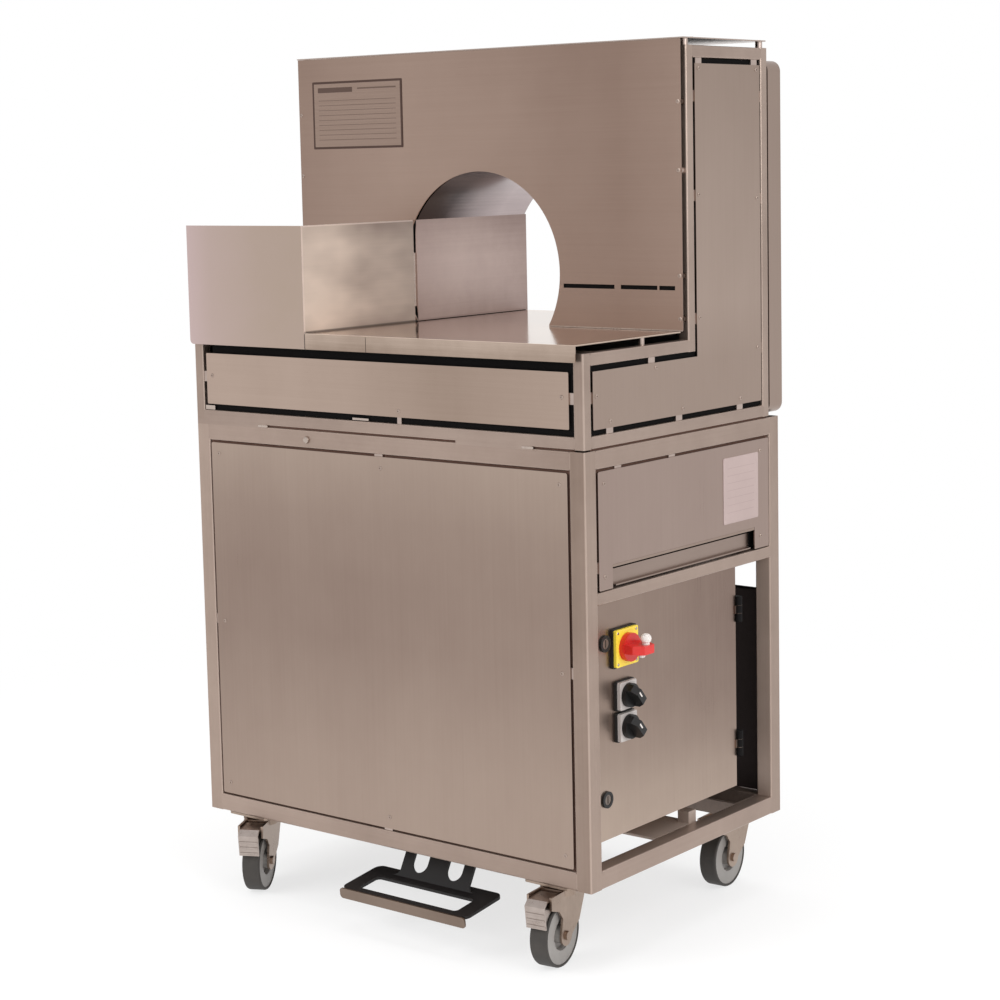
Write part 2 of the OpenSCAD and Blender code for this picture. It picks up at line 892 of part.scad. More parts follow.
// Band head: plate with the arch hole, track round the tunnel and head below the table
module track_plate() {
  x0 = 6;
  z0 = rail_top + 10;
  z1 = tower_top - upper_tube - 10;
  color(grey)
    place()
      difference() {
        xz_sheet(plate_y, track_plate_t)
          difference() {
            translate([x0, z0])
              square([frame_w - 2 * x0, z1 - z0]);
            exit_profile();
          }
        rod_y(feed_x, plate_y - 1, plate_y + track_plate_t + 1, roller_z, roller_shaft_d + 4);
      }
}

// Track: a ring with a groove that opens towards the tunnel
module band_track() {
  y0 = front_cover_y + sheet + 1;
  color(dark)
    place()
      difference() {
        xz_sheet(y0, plate_y - y0)
          difference() {
            arch_disc(track_r + track_h);
            arch_disc(track_r);
            translate([0, table_z + sheet - tower_h])
              square([frame_w, tower_h]);
          }
        xz_sheet(y0 + 1.5, band_gap - 3)
          difference() {
            arch_disc(track_r + track_h - 4);
            arch_disc(track_r - 1);
          }
      }
}

// Open-topped housing with bores for the roller shafts and cheeks for the press
module head_housing() {
  w = head_wall;
  px = arch_cx - press_w / 2;
  color(grey)
    place()
      difference() {
        union() {
          difference() {
            box([head_l, head_y, head_z], [head_r, plate_y, head_top]);
            box([head_l + w, head_y + w, head_z + w], [head_r - w, plate_y - w, head_top + 1]);
          }
          for (x = [px - pass_gap - guide_t, px + press_w + pass_gap])
            box([x, head_y + w, head_z + w], [x + guide_t, plate_y - w, head_top - 12]);
        }
        for (x = [feed_x, pinch_x])
          rod_y(x, head_y - 1, plate_y + 1, roller_z, roller_shaft_d + 2 * run_clear);
      }
}

module seal_press() {
  px = arch_cx - press_w / 2;
  color(steel_light)
    place() {
      box([px, press_y - press_d / 2, head_z + head_wall + 20], [px + press_w, press_y + press_d / 2, base_top - press_stroke]);
      box([px + 8, press_y - 10, head_z + head_wall], [px + press_w - 8, press_y + 10, head_z + head_wall + 20]);
    }
}

module feed_roller() {
  color(dark)
    place() {
      rod_y(feed_x, head_y + head_wall + 1, plate_y - head_wall - 1, roller_z, 2 * roller_r);
      rod_y(feed_x, head_y, plate_y + track_plate_t + 30, roller_z, roller_shaft_d);
    }
}

module pinch_roller() {
  color(dark)
    place() {
      rod_y(pinch_x, head_y + head_wall + 1, plate_y - head_wall - 1, roller_z, 2 * roller_r);
      rod_y(pinch_x, head_y, plate_y - 0.5, roller_z, roller_shaft_d);
    }
}

module feed_motor() {
  y0 = plate_y + track_plate_t;
  color(grey)
    place()
      difference() {
        union() {
          xz_sheet(y0, 8)
            translate([feed_x - motor_d / 2 - 4, roller_z - motor_d / 2 - 4])
              round_rect(motor_d + 8, motor_d + 8, 8);
          rod_y(feed_x, y0 + 8, y0 + 8 + motor_l, roller_z, motor_d);
          rod_y(feed_x, y0 + 8 + motor_l, y0 + 18 + motor_l, roller_z, motor_d - 12);
        }
        rod_y(feed_x, y0 - 1, y0 + 34, roller_z, roller_shaft_d + 2 * run_clear);
      }
}

// Electrical enclosure
module enclosure_box() {
  c = door_clear + sheet;
  s = sheet;
  y0 = encl_y + c;
  y1 = encl_y + encl_w - c;
  z0 = encl_z + c;
  z1 = encl_z + encl_h - c;
  color(steel)
    place() {
      difference() {
        box([box_x - encl_d, y0, z0], [box_x, y1, z1]);
        box([box_x - encl_d + s, y0 + s, z0 + s], [box_x + 1, y1 - s, z1 - s]);
      }
      // Inward strike of the locks
      box([box_x - s, y0 + s, z0 + s], [box_x, y0 + s + strike_w, z1 - s]);
      // Equipment plate on four studs
      box([box_x - encl_d + 16, y0 + 26, z0 + 26], [box_x - encl_d + 18, y1 - 26, z1 - 26]);
      for (y = [y0 + 40, y1 - 40], z = [z0 + 40, z1 - 40])
        rod_x(box_x - encl_d + s, box_x - encl_d + 16, y, z, 8);
      // Feet under the box
      for (x = stand_in)
        box([box_x - encl_d + x, bearer_y + stand_w / 2, encl_z],
          [box_x - encl_d + x + stand_w, bearer_y + bearer_w - stand_w / 2, z0]);
    }
}

module enclosure_door() {
  s = sheet;
  y1 = encl_y + encl_w;
  color(steel)
    place() {
      difference() {
        union() {
          yz_sheet(door_x - s, s)
            translate([encl_y, encl_z])
              square([encl_w, encl_h]);
          // Folded rim on three sides
          box([door_x - door_rim, encl_y, encl_z], [door_x - s, encl_y + s, encl_z + encl_h]);
          for (z = [encl_z, encl_z + encl_h - s])
            box([door_x - door_rim, encl_y, z], [door_x - s, y1, z + s]);
        }
        for (z = [lock_z_lower, lock_z_upper])
          rod_x(door_x - s - 1, door_x + 1, encl_y + lock_y, encl_z + z, lock_d - 2 * lock_wall);
        rod_x(door_x - s - 1, door_x + 1, switch_cy, main_cz, 22);
        for (z = selector_z)
          rod_x(door_x - s - 1, door_x + 1, switch_cy, encl_z + z, 22);
      }
      // Middle knuckles of the hinges
      for (z = hinge_z)
        difference() {
          union() {
            translate([hinge_x, hinge_y, z + hinge_l / 3 + 0.3])
              cylinder(r = hinge_r, h = hinge_l / 3 - 0.6);
            box([door_x - s, y1 - 4, z + hinge_l / 3 + 0.3], [hinge_x, hinge_y, z + hinge_l * 2 / 3 - 0.3]);
          }
          translate([hinge_x, hinge_y, z])
            cylinder(d = hinge_pin_d + 2 * run_clear, h = hinge_l);
        }
    }
}

// Fixed half of the hinges, on the rear wall of the box, with the pins
module door_hinges() {
  y0 = encl_y + encl_w - door_clear - sheet;
  color(dark)
    place()
      for (z = hinge_z) {
        box([box_x - hinge_leaf, y0, z], [box_x - 2, hinge_y + hinge_r, z + hinge_l]);
        for (k = [z, z + hinge_l * 2 / 3]) {
          box([box_x - hinge_leaf / 2, hinge_y - hinge_r + 1, k], [hinge_x, hinge_y + hinge_r, k + hinge_l / 3]);
          translate([hinge_x, hinge_y, k])
            cylinder(r = hinge_r, h = hinge_l / 3);
        }
        translate([hinge_x, hinge_y, z])
          cylinder(d = hinge_pin_d, h = hinge_l);
      }
}

// Quarter-turn lock: a slotted insert with a cam behind the door
module lock_insert(z) {
  y = encl_y + lock_y;
  cam = 12;
  color(dark)
    place()
      difference() {
        union() {
          rod_x(door_x - sheet - 5, door_x + 2.5, y, z, lock_d - 2 * lock_wall - 2 * run_clear);
          box([door_x - sheet - 8, y - 4, z - cam], [door_x - sheet - 5, y + 4, z + 6]);
        }
        box([door_x + 0.5, y - 1.5, z - 6], [door_x + 4, y + 1.5, z + 6]);
      }
}

module door_lock_upper() {
  lock_insert(encl_z + lock_z_upper);
}

module door_lock_lower() {
  lock_insert(encl_z + lock_z_lower);
}

// Switches: gaskets, plates, handle and knobs
module square_plate(x, t, side, z, bore) {
  difference() {
    yz_sheet(x, t)
      translate([switch_cy - side / 2, z - side / 2])
        round_rect(side, side, 3);
    rod_x(x - 1, x + t + 1, switch_cy, z, bore);
  }
}

module switch_gaskets() {
  color(dark)
    place() {
      square_plate(door_x, gasket_t, main_plate + 4, main_cz, 22);
      for (z = selector_z)
        square_plate(door_x, gasket_t, bezel + 3, encl_z + z, 22);
      // Collars of the two locks
      for (z = [lock_z_lower, lock_z_upper])
        difference() {
          rod_x(door_x, door_x + collar_t, encl_y + lock_y, encl_z + z, lock_d);
          rod_x(door_x - 1, door_x + collar_t + 1, encl_y + lock_y, encl_z + z, lock_d - 2 * lock_wall);
        }
    }
}

module main_switch_plate() {
  color(yellow)
    place()
      square_plate(door_x + gasket_t, 5, main_plate, main_cz, 18);
}

module selector_bezels() {
  color([0.75, 0.74, 0.73])
    place()
      for (z = selector_z)
        square_plate(door_x + gasket_t, 6, bezel, encl_z + z, 18);
}

// Round base with a waisted grip bar; the shaft runs through the plate
module grip(x, z, base_r, base_t, bar_l, bar_t, reach, turn) {
  translate([x, switch_cy, z])
    rotate([turn, 0, 0]) {
      rod_x(-12, base_t, 0, 0, 18 - 2 * run_clear - 0.4);
      rod_x(0.4, base_t, 0, 0, 2 * base_r);
      rotate([90, 0, 0])
        translate([0, 0, -bar_t / 2])
          linear_extrude(bar_t)
            polygon([[base_t - 1, -bar_l / 2], [reach * 0.6, -bar_l / 2], [reach, -bar_l / 3.4],
              [reach, bar_l / 3.4], [reach * 0.6, bar_l / 2], [base_t - 1, bar_l / 2]]);
    }
}

module main_switch_handle() {
  color(red)
    place()
      grip(door_x + gasket_t + 5, main_cz, 23, 10, 44, 14, knob_reach - 5, 90);
}

module selector_knob_upper() {
  color(dark)
    place()
      grip(door_x + gasket_t + 6, encl_z + selector_z[0], 19.5, 8, 39, 13, 27, 40);
}

module selector_knob_lower() {
  color(dark)
    place()
      grip(door_x + gasket_t + 6, encl_z + selector_z[1], 19.5, 8, 39, 13, 27, 40);
}

// Foot pedal: sloping loop with a neck of three struts and a hub round the shaft
module pedal_loop_profile() {
  difference() {
    translate([-pedal_w / 2, -pedal_l])
      round_rect(pedal_w, pedal_l, 14);
    translate([-pedal_w / 2 + pedal_side, -pedal_l + pedal_front_bar])
      round_rect(pedal_w - 2 * pedal_side, pedal_l - pedal_bar - pedal_front_bar, 8);
  }
}

module neck_profile() {
  slot = 33;
  flare = 12;
  difference() {
    union() {
      translate([-neck_w / 2, 0])
        square([neck_w, neck_l]);
      translate([-neck_w / 2 - flare, 0])
        square([neck_w + 2 * flare, flare + 2]);
    }
    for (s = [-1, 1]) {
      translate([s * (21 + slot / 2), neck_l * 0.38])
        circle(d = slot);
      translate([s * (21 + slot / 2) - slot / 2, neck_l * 0.38])
        square([slot, neck_l]);
      translate([s * (neck_w / 2 + flare), flare + 2])
        circle(r = flare);
    }
  }
}

module foot_pedal() {
  color(dark)
    place()
      translate([pedal_x, bar_y, -pedal_drop])
        difference() {
          union() {
            rotate([pedal_slope, 0, 0])
              translate([0, pedal_bar / 2, -pedal_t / 2])
                linear_extrude(pedal_t)
                  pedal_loop_profile();
            rotate([90 - neck_lean, 0, 0])
              translate([0, 0, -pedal_t / 2])
                linear_extrude(pedal_t)
                  neck_profile();
            rod_x(-hub_half_l, hub_half_l, pivot_y - bar_y, pedal_drop + pivot_z, 2 * hub_r);
          }
          rod_x(-neck_w, neck_w, pivot_y - bar_y, pedal_drop + pivot_z, pedal_shaft_d + 2 * run_clear);
        }
}

// Bright strip on the front edge of the loop
module pedal_tread() {
  color(steel)
    place()
      translate([pedal_x, bar_y, -pedal_drop])
        rotate([pedal_slope, 0, 0])
          translate([-pedal_w / 2, pedal_bar / 2 - pedal_l - tread_t, pedal_t / 2 - tread_h])
            rotate([90, 0, 0])
              translate([0, 0, -tread_t])
                linear_extrude(tread_t)
                  round_rect(pedal_w, tread_h, 6);
}

// Shaft and its two brackets on the back of the front rail
module pedal_shaft() {
  gap = hub_half_l + pass_gap;
  color(steel_light)
    place() {
      rod_x(pedal_x - gap - bracket_t - 4, pedal_x + gap + bracket_t + 4, pivot_y, pivot_z, pedal_shaft_d);
      for (x = [pedal_x - gap - bracket_t, pedal_x + gap])
        difference() {
          union() {
            box([x, lower_tube, 2], [x + bracket_t, pivot_y, lower_tube - 2]);
            rod_x(x, x + bracket_t, pivot_y, pivot_z, lower_tube - 4);
          }
          rod_x(x - 1, x + bracket_t + 1, pivot_y, pivot_z, pedal_shaft_d);
        }
    }
}

// Casters
module caster_plates() {
  color(steel_light)
    place()
      for (p = caster_pos)
        translate([p[0], p[1], 0]) {
          translate([-plate_half_x, -plate_half_y, -plate_t])
            linear_extrude(plate_t)
              round_rect(2 * plate_half_x, 2 * plate_half_y, 6);
          translate([0, 0, -plate_t - race_t])
            cylinder(d1 = 52, d2 = 60, h = race_t);
          // King pin with its head under the fork crown
          translate([0, 0, crown_z - crown_t - 5])
            cylinder(d = 12, h = crown_t + 5 - crown_z - plate_t);
          translate([0, 0, crown_z - crown_t - 5])
            cylinder(d = 20, h = 4.4);
        }
}

// Caster frame: the swivel axis is the origin, the wheel trails towards the front and then turns
module at_caster(i) {
  translate([caster_pos[i][0], caster_pos[i][1], 0])
    rotate([0, 0, caster_heading[i]])
      children();
}

module leg_profile() {
  t = caster_trail;
  polygon([[-leg_front, crown_z], [leg_rear, crown_z], [leg_rear, crown_z - crown_t],
    [leg_rear - 23, axle_z + 15], [leg_end - t - 0.5, axle_z - 3], [0.5 - leg_end - t, axle_z + 3],
    [-t - 11, axle_z + 30], [-t - 22, axle_z + 45], [-leg_front, axle_z + 53]]);
  translate([-caster_trail, axle_z])
    circle(r = leg_end);
}

module caster_fork(i) {
  out = leg_in + leg_t;
  color(steel_light)
    place()
      at_caster(i) {
        difference() {
          union() {
            // Crown, cut flat in front where a brake hub sits
            difference() {
              union() {
                translate([0, 0, crown_z - crown_t])
                  cylinder(d = 62, h = crown_t);
                box([-out, crown_front, crown_z - crown_t + 4], [out, 28, crown_z]);
              }
              box([-leg_in, -40, crown_z - crown_t - 1], [leg_in, crown_front, crown_z + 1]);
            }
            for (x = [-out, leg_in])
              yz_sheet(x, leg_t)
                leg_profile();
          }
          translate([0, 0, crown_z - crown_t - 1])
            cylinder(d = 12 + 2 * run_clear, h = crown_t + 2);
          translate([0, 0, crown_z - crown_t - 1])
            cylinder(d = 21, h = 1.4);
        }
        // Axle bolt with its two heads
        rod_x(-out - head_t / 2, out + head_t / 2, -caster_trail, axle_z, axle_d);
        for (x = [-out - head_t, out])
          rod_x(x, x + head_t, -caster_trail, axle_z, 2 * axle_d - 5);
        if (i < 2)
          rod_x(-out, out, brake_y, brake_z, brake_pin_d);
      }
}

// Wheel: a dished rim with a hub tube and a rounded tyre
module wheel_turn(i) {
  place()
    at_caster(i)
      translate([0, -caster_trail, axle_z])
        rotate([0, 90, 0])
          rotate_extrude($fn = 96)
            children();
}

module caster_rim(i) {
  r0 = axle_d / 2 + run_clear;
  r1 = r0 + 8;
  w = wheel_w / 2 - 1.5;
  color(grey)
    wheel_turn(i)
      polygon([[r0, -hub_half], [r1, -hub_half], [r1 + 2, -6], [rim_r - 25, -6], [rim_r - 22, -w], [rim_r, -w],
        [rim_r, w], [rim_r - 22, w], [rim_r - 25, 6], [r1 + 2, 6], [r1, hub_half], [r0, hub_half]]);
}

module caster_tyre(i) {
  w = wheel_w / 2;
  r = wheel_d / 2;
  color(tyre_grey)
    wheel_turn(i)
      polygon([[rim_r, 1.5 - w], [rim_r + 1, -w], [r - 2.5, -w], [r - 0.8, 0.8 - w], [r, 2.5 - w],
        [r, w - 2.5], [r - 0.8, w - 0.8], [r - 2.5, w], [rim_r + 1, w], [rim_r, w - 1.5]]);
}

// Brake: a bent pedal in front of the tyre with a shoe behind it, which lifts about a pin in the fork
module caster_brake(i) {
  r0 = wheel_d / 2 + brake_gap;
  face_y = -caster_trail - brake_reach;
  foot_z = axle_z + brake_foot;
  t = brake_t;
  color(steel_light)
    place()
      at_caster(i)
        difference() {
          union() {
            // Top plate, bend and face of the pedal
            yz_sheet(-brake_half, 2 * brake_half)
              polygon([[brake_y, brake_z + brake_hub_r], [face_y + 10, brake_z + 3], [face_y, brake_z - 6],
                [face_y + 5, foot_z], [face_y + 5 + t, foot_z], [face_y + t + 0.5, brake_z - 7],
                [face_y + 11, brake_z + 3 - t], [brake_y, brake_z - brake_hub_r]]);
            // Shoe, a slice of a ring round the wheel axis
            yz_sheet(-shoe_half, 2 * shoe_half)
              difference() {
                polygon([[face_y + 4, brake_z - 2], [face_y + 22, brake_z + 1 - t], [-caster_trail - 20, axle_z + 40],
                  [-caster_trail - 40, axle_z + 20], [face_y + 4, foot_z + 14]]);
                translate([-caster_trail, axle_z])
                  circle(r = r0, $fn = 96);
              }
            rod_x(-brake_half, brake_half, brake_y, brake_z, 2 * brake_hub_r);
          }
          rod_x(-leg_in - 9, leg_in + 9, brake_y, brake_z, brake_pin_d + 2 * run_clear);
        }
}

module caster_fork_fl() {
  caster_fork(0);
}

module caster_fork_fr() {
  caster_fork(1);
}

module caster_fork_rl() {
  caster_fork(2);
}

module caster_fork_rr() {
  caster_fork(3);
}

module caster_rim_fl() {
  caster_rim(0);
}

module caster_rim_fr() {
  caster_rim(1);
}

module caster_rim_rl() {
  caster_rim(2);
}

module caster_rim_rr() {
  caster_rim(3);
}

module caster_tyre_fl() {
  caster_tyre(0);
}

module caster_tyre_fr() {
  caster_tyre(1);
}

module caster_tyre_rl() {
  caster_tyre(2);
}

module caster_tyre_rr() {
  caster_tyre(3);
}

module caster_brake_fl() {
  caster_brake(0);
}

module caster_brake_fr() {
  caster_brake(1);
}

lower_frame_posts();
lower_frame_rails();
upper_frame_posts();
upper_frame_rails();
front_panel();
cabinet_panels();
rear_panel();
base_pan();
right_service_panel();
waste_tray();
base_front_panel();
right_side_cover();
left_side_cover();
tower_front_cover();
rear_cover();
top_cover();
cover_mounts();
tunnel_liner();
infeed_table();
side_table();
tunnel_floor();
front_fence();
rear_fence();
track_plate();
band_track();
head_housing();
seal_press();
feed_roller();
pinch_roller();
feed_motor();
enclosure_box();
enclosure_door();
door_hinges();
door_lock_upper();
door_lock_lower();
switch_gaskets();
main_switch_plate();
main_switch_handle();
selector_bezels();
selector_knob_upper();
selector_knob_lower();
foot_pedal();
pedal_tread();
pedal_shaft();
caster_plates();
caster_fork_fl();
caster_fork_fr();
caster_fork_rl();
caster_fork_rr();
caster_rim_fl();
caster_rim_fr();
caster_rim_rl();
caster_rim_rr();
caster_tyre_fl();
caster_tyre_fr();
caster_tyre_rl();
caster_tyre_rr();
caster_brake_fl();
caster_brake_fr();
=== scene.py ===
import math

import bmesh
import bpy
from mathutils import Matrix, Vector


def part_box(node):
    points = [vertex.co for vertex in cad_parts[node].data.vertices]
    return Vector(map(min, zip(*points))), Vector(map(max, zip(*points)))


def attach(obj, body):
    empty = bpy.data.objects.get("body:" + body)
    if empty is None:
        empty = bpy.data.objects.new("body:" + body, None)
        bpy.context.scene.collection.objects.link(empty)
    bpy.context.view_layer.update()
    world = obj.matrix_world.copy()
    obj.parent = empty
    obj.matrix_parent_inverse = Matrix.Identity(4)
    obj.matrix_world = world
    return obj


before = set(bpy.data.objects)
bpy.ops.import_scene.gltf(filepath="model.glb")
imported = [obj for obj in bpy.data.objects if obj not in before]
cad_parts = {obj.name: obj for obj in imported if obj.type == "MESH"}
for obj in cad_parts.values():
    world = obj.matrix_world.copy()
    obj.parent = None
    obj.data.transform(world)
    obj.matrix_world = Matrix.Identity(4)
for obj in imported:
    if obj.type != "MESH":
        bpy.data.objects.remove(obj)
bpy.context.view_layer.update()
scene = bpy.context.scene

# Camera: a long lens at chest height off the right front corner, tipped a little down and rolled a degree.
# It stands at a place measured from the lower front left corner of the frame, as every piece below does.
corner = Vector(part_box("lower_frame_posts")[0])


def spot(x, y, z):
    """A place in millimetres from the lower front left corner of the frame, as metres in the model."""
    return corner + Vector((x, y, z)) / 1000


yaw, pitch, roll = 0.67576, -0.12093, -0.02088
ahead = Vector((-math.sin(yaw) * math.cos(pitch), math.cos(yaw) * math.cos(pitch), math.sin(pitch)))
level = Vector((math.cos(yaw), math.sin(yaw), 0))
upright = level.cross(ahead)
right = level * math.cos(roll) + upright * math.sin(roll)
up = upright * math.cos(roll) - level * math.sin(roll)
stand = spot(2891.2, -2751.74, 1153.2)
lens = bpy.data.cameras.new("camera")
lens.lens = 81.07
lens.sensor_width = 36
lens.shift_y = -0.0692
lens.clip_end = 200
camera = bpy.data.objects.new("camera", lens)
camera.matrix_world = Matrix(((right.x, up.x, -ahead.x, stand.x), (right.y, up.y, -ahead.y, stand.y),
                              (right.z, up.z, -ahead.z, stand.z), (0, 0, 0, 1)))
scene.collection.objects.link(camera)
scene.camera = camera
scene.view_settings.view_transform = "Standard"


# Studio: the machine stands on a wide pale floor in front of nothing but white.
# The room is an even light tent, so that the steel takes soft tones, and three soft boxes give the shadow.
class Wire:
    """A socket in a node tree. Arithmetic on it adds Math nodes."""

    def __init__(self, tree, socket=None):
        self.tree = tree
        self.socket = socket

    def node(self, kind, settings=None, sockets=None, out=0):
        """Adds a node: its settings come first, then the values or links of its sockets."""
        made = self.tree.nodes.new("ShaderNode" + kind)
        for key, value in (settings or {}).items():
            if key == "stops":
                ramp = made.color_ramp.elements
                while len(ramp) < len(value):
                    ramp.new(1)
                for stop, (place, colour) in zip(ramp, value):
                    stop.position = place
                    stop.color = colour
            else:
                setattr(made, key, value)
        for key, value in (sockets or {}).items():
            if isinstance(value, Wire):
                self.tree.links.new(value.socket, made.inputs[key])
            else:
                made.inputs[key].default_value = value
        return Wire(self.tree, made.outputs[out] if len(made.outputs) else None)

    def math(self, operation, first, second):
        return self.node("Math", {"operation": operation}, {0: first, 1: second})

    def __add__(self, other):
        return self.math("ADD", self, other)

    def __sub__(self, other):
        return self.math("SUBTRACT", self, other)

    def __rsub__(self, other):
        return self.math("SUBTRACT", other, self)

    def __mul__(self, other):
        return self.math("MULTIPLY", self, other)

    __radd__ = __add__
    __rmul__ = __mul__


def rgb(red, green, blue):
    """A colour as read off a screen, from 0 to 255, as linear light."""
    def linear(c):
        c = c / 255
        return c / 12.92 if c < 0.04045 else ((c + 0.055) / 1.055) ** 2.4
    return linear(red), linear(green), linear(blue), 1


def seen(wire):
    """1 for what the lens, a gloss or a glass sees, 0 for light that falls on a surface."""
    lens_ray, gloss_ray, glass_ray = [wire.node("LightPath", out="Is %s Ray" % kind)
                                      for kind in ("Camera", "Glossy", "Transmission")]
    return wire.math("MINIMUM", lens_ray + gloss_ray + glass_ray, 1)


def blend(wire, share, one, two):
    """A mix of two colours, by the inputs and the output that the node keeps for colours."""
    return wire.node("Mix", {"data_type": "RGBA"}, {0: share, 6: one, 7: two}, out=2)


def ease(wire, value, low, high, start=0.0, end=1.0):
    """A value carried smoothly from one range to another."""
    return wire.node("MapRange", {"interpolation_type": "SMOOTHSTEP"},
                     {0: value, 1: low, 2: high, 3: start, 4: end})


def meshed(name, bm):
    """Turns a finished shape into a mesh."""
    mesh = bpy.data.meshes.new(name)
    bm.to_mesh(mesh)
    bm.free()
    return mesh


sky = bpy.data.worlds.new("studio")
sky.use_nodes = True
sky.node_tree.nodes.clear()
air = Wire(sky.node_tree)
height = air.node("SeparateXYZ", sockets={0: air.node("TexCoord", out="Generated")}, out="Z")
tent = [(0, rgb(238, 238, 238)), (0.5, rgb(246, 246, 246)), (1, rgb(232, 232, 233))]
gloss = air.node("ValToRGB", {"stops": tent}, {0: height * 0.5 + 0.5})
backdrop = blend(air, air.node("LightPath", out="Is Camera Ray"), gloss, (1, 1, 1, 1))
lit = blend(air, seen(air), (0.78, 0.78, 0.78, 1), backdrop)
air.node("OutputWorld", sockets={0: air.node("Background", sockets={0: lit, 1: 1})})
scene.world = sky

bm = bmesh.new()
bmesh.ops.create_grid(bm, x_segments=2, y_segments=2, size=40)
ground = meshed("floor", bm)
floor = bpy.data.objects.new("floor", ground)
scene.collection.objects.link(floor)
pale = bpy.data.materials.new("pale_floor")
pale.use_nodes = True
pale.node_tree.nodes.clear()
net = Wire(pale.node_tree)
reach = net.node("VectorMath", {"operation": "LENGTH"}, {0: net.node("TexCoord", out="Object")}, out="Value")
matt = net.node("BsdfDiffuse", sockets={0: (0.95, 0.95, 0.95, 1)})
white = net.node("Emission", sockets={0: (1, 1, 1, 1), 1: 1})
glow = seen(net) * ease(net, reach, 0.7, 2.2, 0.7, 1.0)
net.node("OutputMaterial", sockets={0: net.node("MixShader", sockets={0: glow, 1: matt, 2: white})})
ground.materials.append(pale)

aim = Vector((0, 0, 0.8))
for name, place, size, watts, mirrored in (("soft_box_left", (-1.6, -3.4, 2.9), 2.6, 95, False),
                                           ("soft_box_right", (3.6, -0.6, 2.6), 2.4, 60, True),
                                           ("soft_box_top", (0.2, 0.4, 4.2), 2.2, 50, True)):
    lamp = bpy.data.lights.new(name, "AREA")
    lamp.size = size
    lamp.energy = watts
    holder = bpy.data.objects.new(name, lamp)
    holder.location = place
    holder.rotation_euler = (aim - Vector(place)).to_track_quat("-Z", "Y").to_euler()
    holder.visible_glossy = mirrored
    scene.collection.objects.link(holder)


# Lower frame: 30 mm square stainless tube, mitred, welded and dressed flush at the corners.
# The tube is satin ground along its length, upright on the posts and lengthwise on the rails.
tube, right_face, rear_face = 30, 850, 564
side_rails, rear_posts = right_face - tube, rear_face - tube


def coat(name):
    """A new material with an empty tree."""
    made = bpy.data.materials.new(name)
    made.use_nodes = True
    made.node_tree.nodes.clear()
    return made, Wire(made.node_tree)


def paint(wire, **inputs):
    """Ends a material with a shader; each input is a value for all of it or a wire that changes over it."""
    named = {key.replace("_", " "): value for key, value in inputs.items()}
    wire.node("OutputMaterial", sockets={0: wire.node("BsdfPrincipled", sockets=named)})


def grain(wire, stretch, detail=2.0):
    """Noise drawn out along one axis, as an abrasive belt leaves it."""
    place = wire.node("TexCoord", out="Object")
    drawn = wire.node("VectorMath", {"operation": "MULTIPLY"}, {0: place, 1: stretch})
    return wire.node("TexNoise", sockets={"Vector": drawn, "Scale": 1.0, "Detail": detail, "Roughness": 0.6})


def drawn_along(axis, often, seldom):
    """How often noise repeats in a metre: often across the strokes of the belt, seldom along them."""
    return tuple(seldom if k == axis else often for k in "XYZ")


def along(wire, axis):
    """How far a point lies from the corner of the frame along one axis, in millimetres."""
    place = wire.node("SeparateXYZ", sockets={0: wire.node("TexCoord", out="Object")}, out=axis)
    return (place - corner["XYZ".index(axis)]) * 1000


def band(wire, value, low, high):
    """1 where a value lies between two limits."""
    return wire.math("GREATER_THAN", value, low) * wire.math("LESS_THAN", value, high)


def painted_shading_run(wire, axis, low, high, tones):
    """A slow run of painted light and shade along one axis, in even steps between two places."""
    share = wire.node("MapRange", sockets={0: along(wire, axis), 1: low, 2: high})
    stops = [(k / (len(tones) - 1), (t, t, t, 1)) for k, t in enumerate(tones)]
    return wire.node("ValToRGB", {"stops": stops}, {0: share})


def strokes(wire, axis):
    """Fine and coarse marks of the belt. Rails lie both ways, so theirs turn where the side rails begin."""
    if axis in "XYZ":
        return grain(wire, drawn_along(axis, 1500, 9), 3.0), grain(wire, drawn_along(axis, 210, 2.2), 2.0)
    front = band(wire, along(wire, "X"), tube, side_rails)
    long_way, side_way = strokes(wire, "X"), strokes(wire, "Y")
    return [one * front + two * (1 - front) for one, two in zip(long_way, side_way)]


def brushed(name, light, dark, axis, rough, clouds, depth=0.00003, painted_shading=(), edges=0.0, metal=1.0):
    """Stainless sheet or tube: belt marks over slow clouds in tone and gloss, and the smears of a cloth.

    Painted shading adds slow runs of painted light and shade along a sheet, and edges add a painted highlight
    along the rounded corners of a tube.
    Metal is one value for all of it, or a function that wires up one that changes over it."""
    made, wire = coat(name)
    fine, coarse = strokes(wire, axis)
    slow = grain(wire, clouds, 1.5)
    smear = grain(wire, tuple(7 * c for c in clouds), 3.0)
    tone = slow * 0.7 + coarse * 0.14 + fine * 0.2 + smear * 0.26 - 0.15
    # Each run is painted light and shade.
    for run in painted_shading:
        tone = tone + painted_shading_run(wire, *run) - 0.5
    # Edges: a painted highlight along the rounded corners of the tubes.
    if edges:
        front_corner_highlight = band(wire, along(wire, "Y"), 0.15, 2.3)
        right_corner_highlight = band(wire, along(wire, "X"), right_face - 2.3, right_face - 0.15)
        tone = tone + wire.math("MAXIMUM", front_corner_highlight, right_corner_highlight) * edges
    bump = wire.node("Bump", sockets={"Strength": 0.3, "Distance": depth, "Height": fine})
    paint(wire, Base_Color=blend(wire, tone, dark, light), Normal=bump,
          Metallic=metal(wire) if callable(metal) else metal,
          Roughness=fine * 0.12 + slow * 0.12 + smear * 0.08 + (rough - 0.16))
    return made


def dress(material, *names):
    """Gives a material to whole nodes of the CAD."""
    for name in names:
        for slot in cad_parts[name].material_slots:
            slot.material = material


def duller_inside(wire):
    """Less of a mirror on the front faces of the rear posts, which look into the dark of the cabinet."""
    return 0.7 - band(wire, along(wire, "Y"), rear_posts - 0.1, rear_posts + 0.1) * 0.5
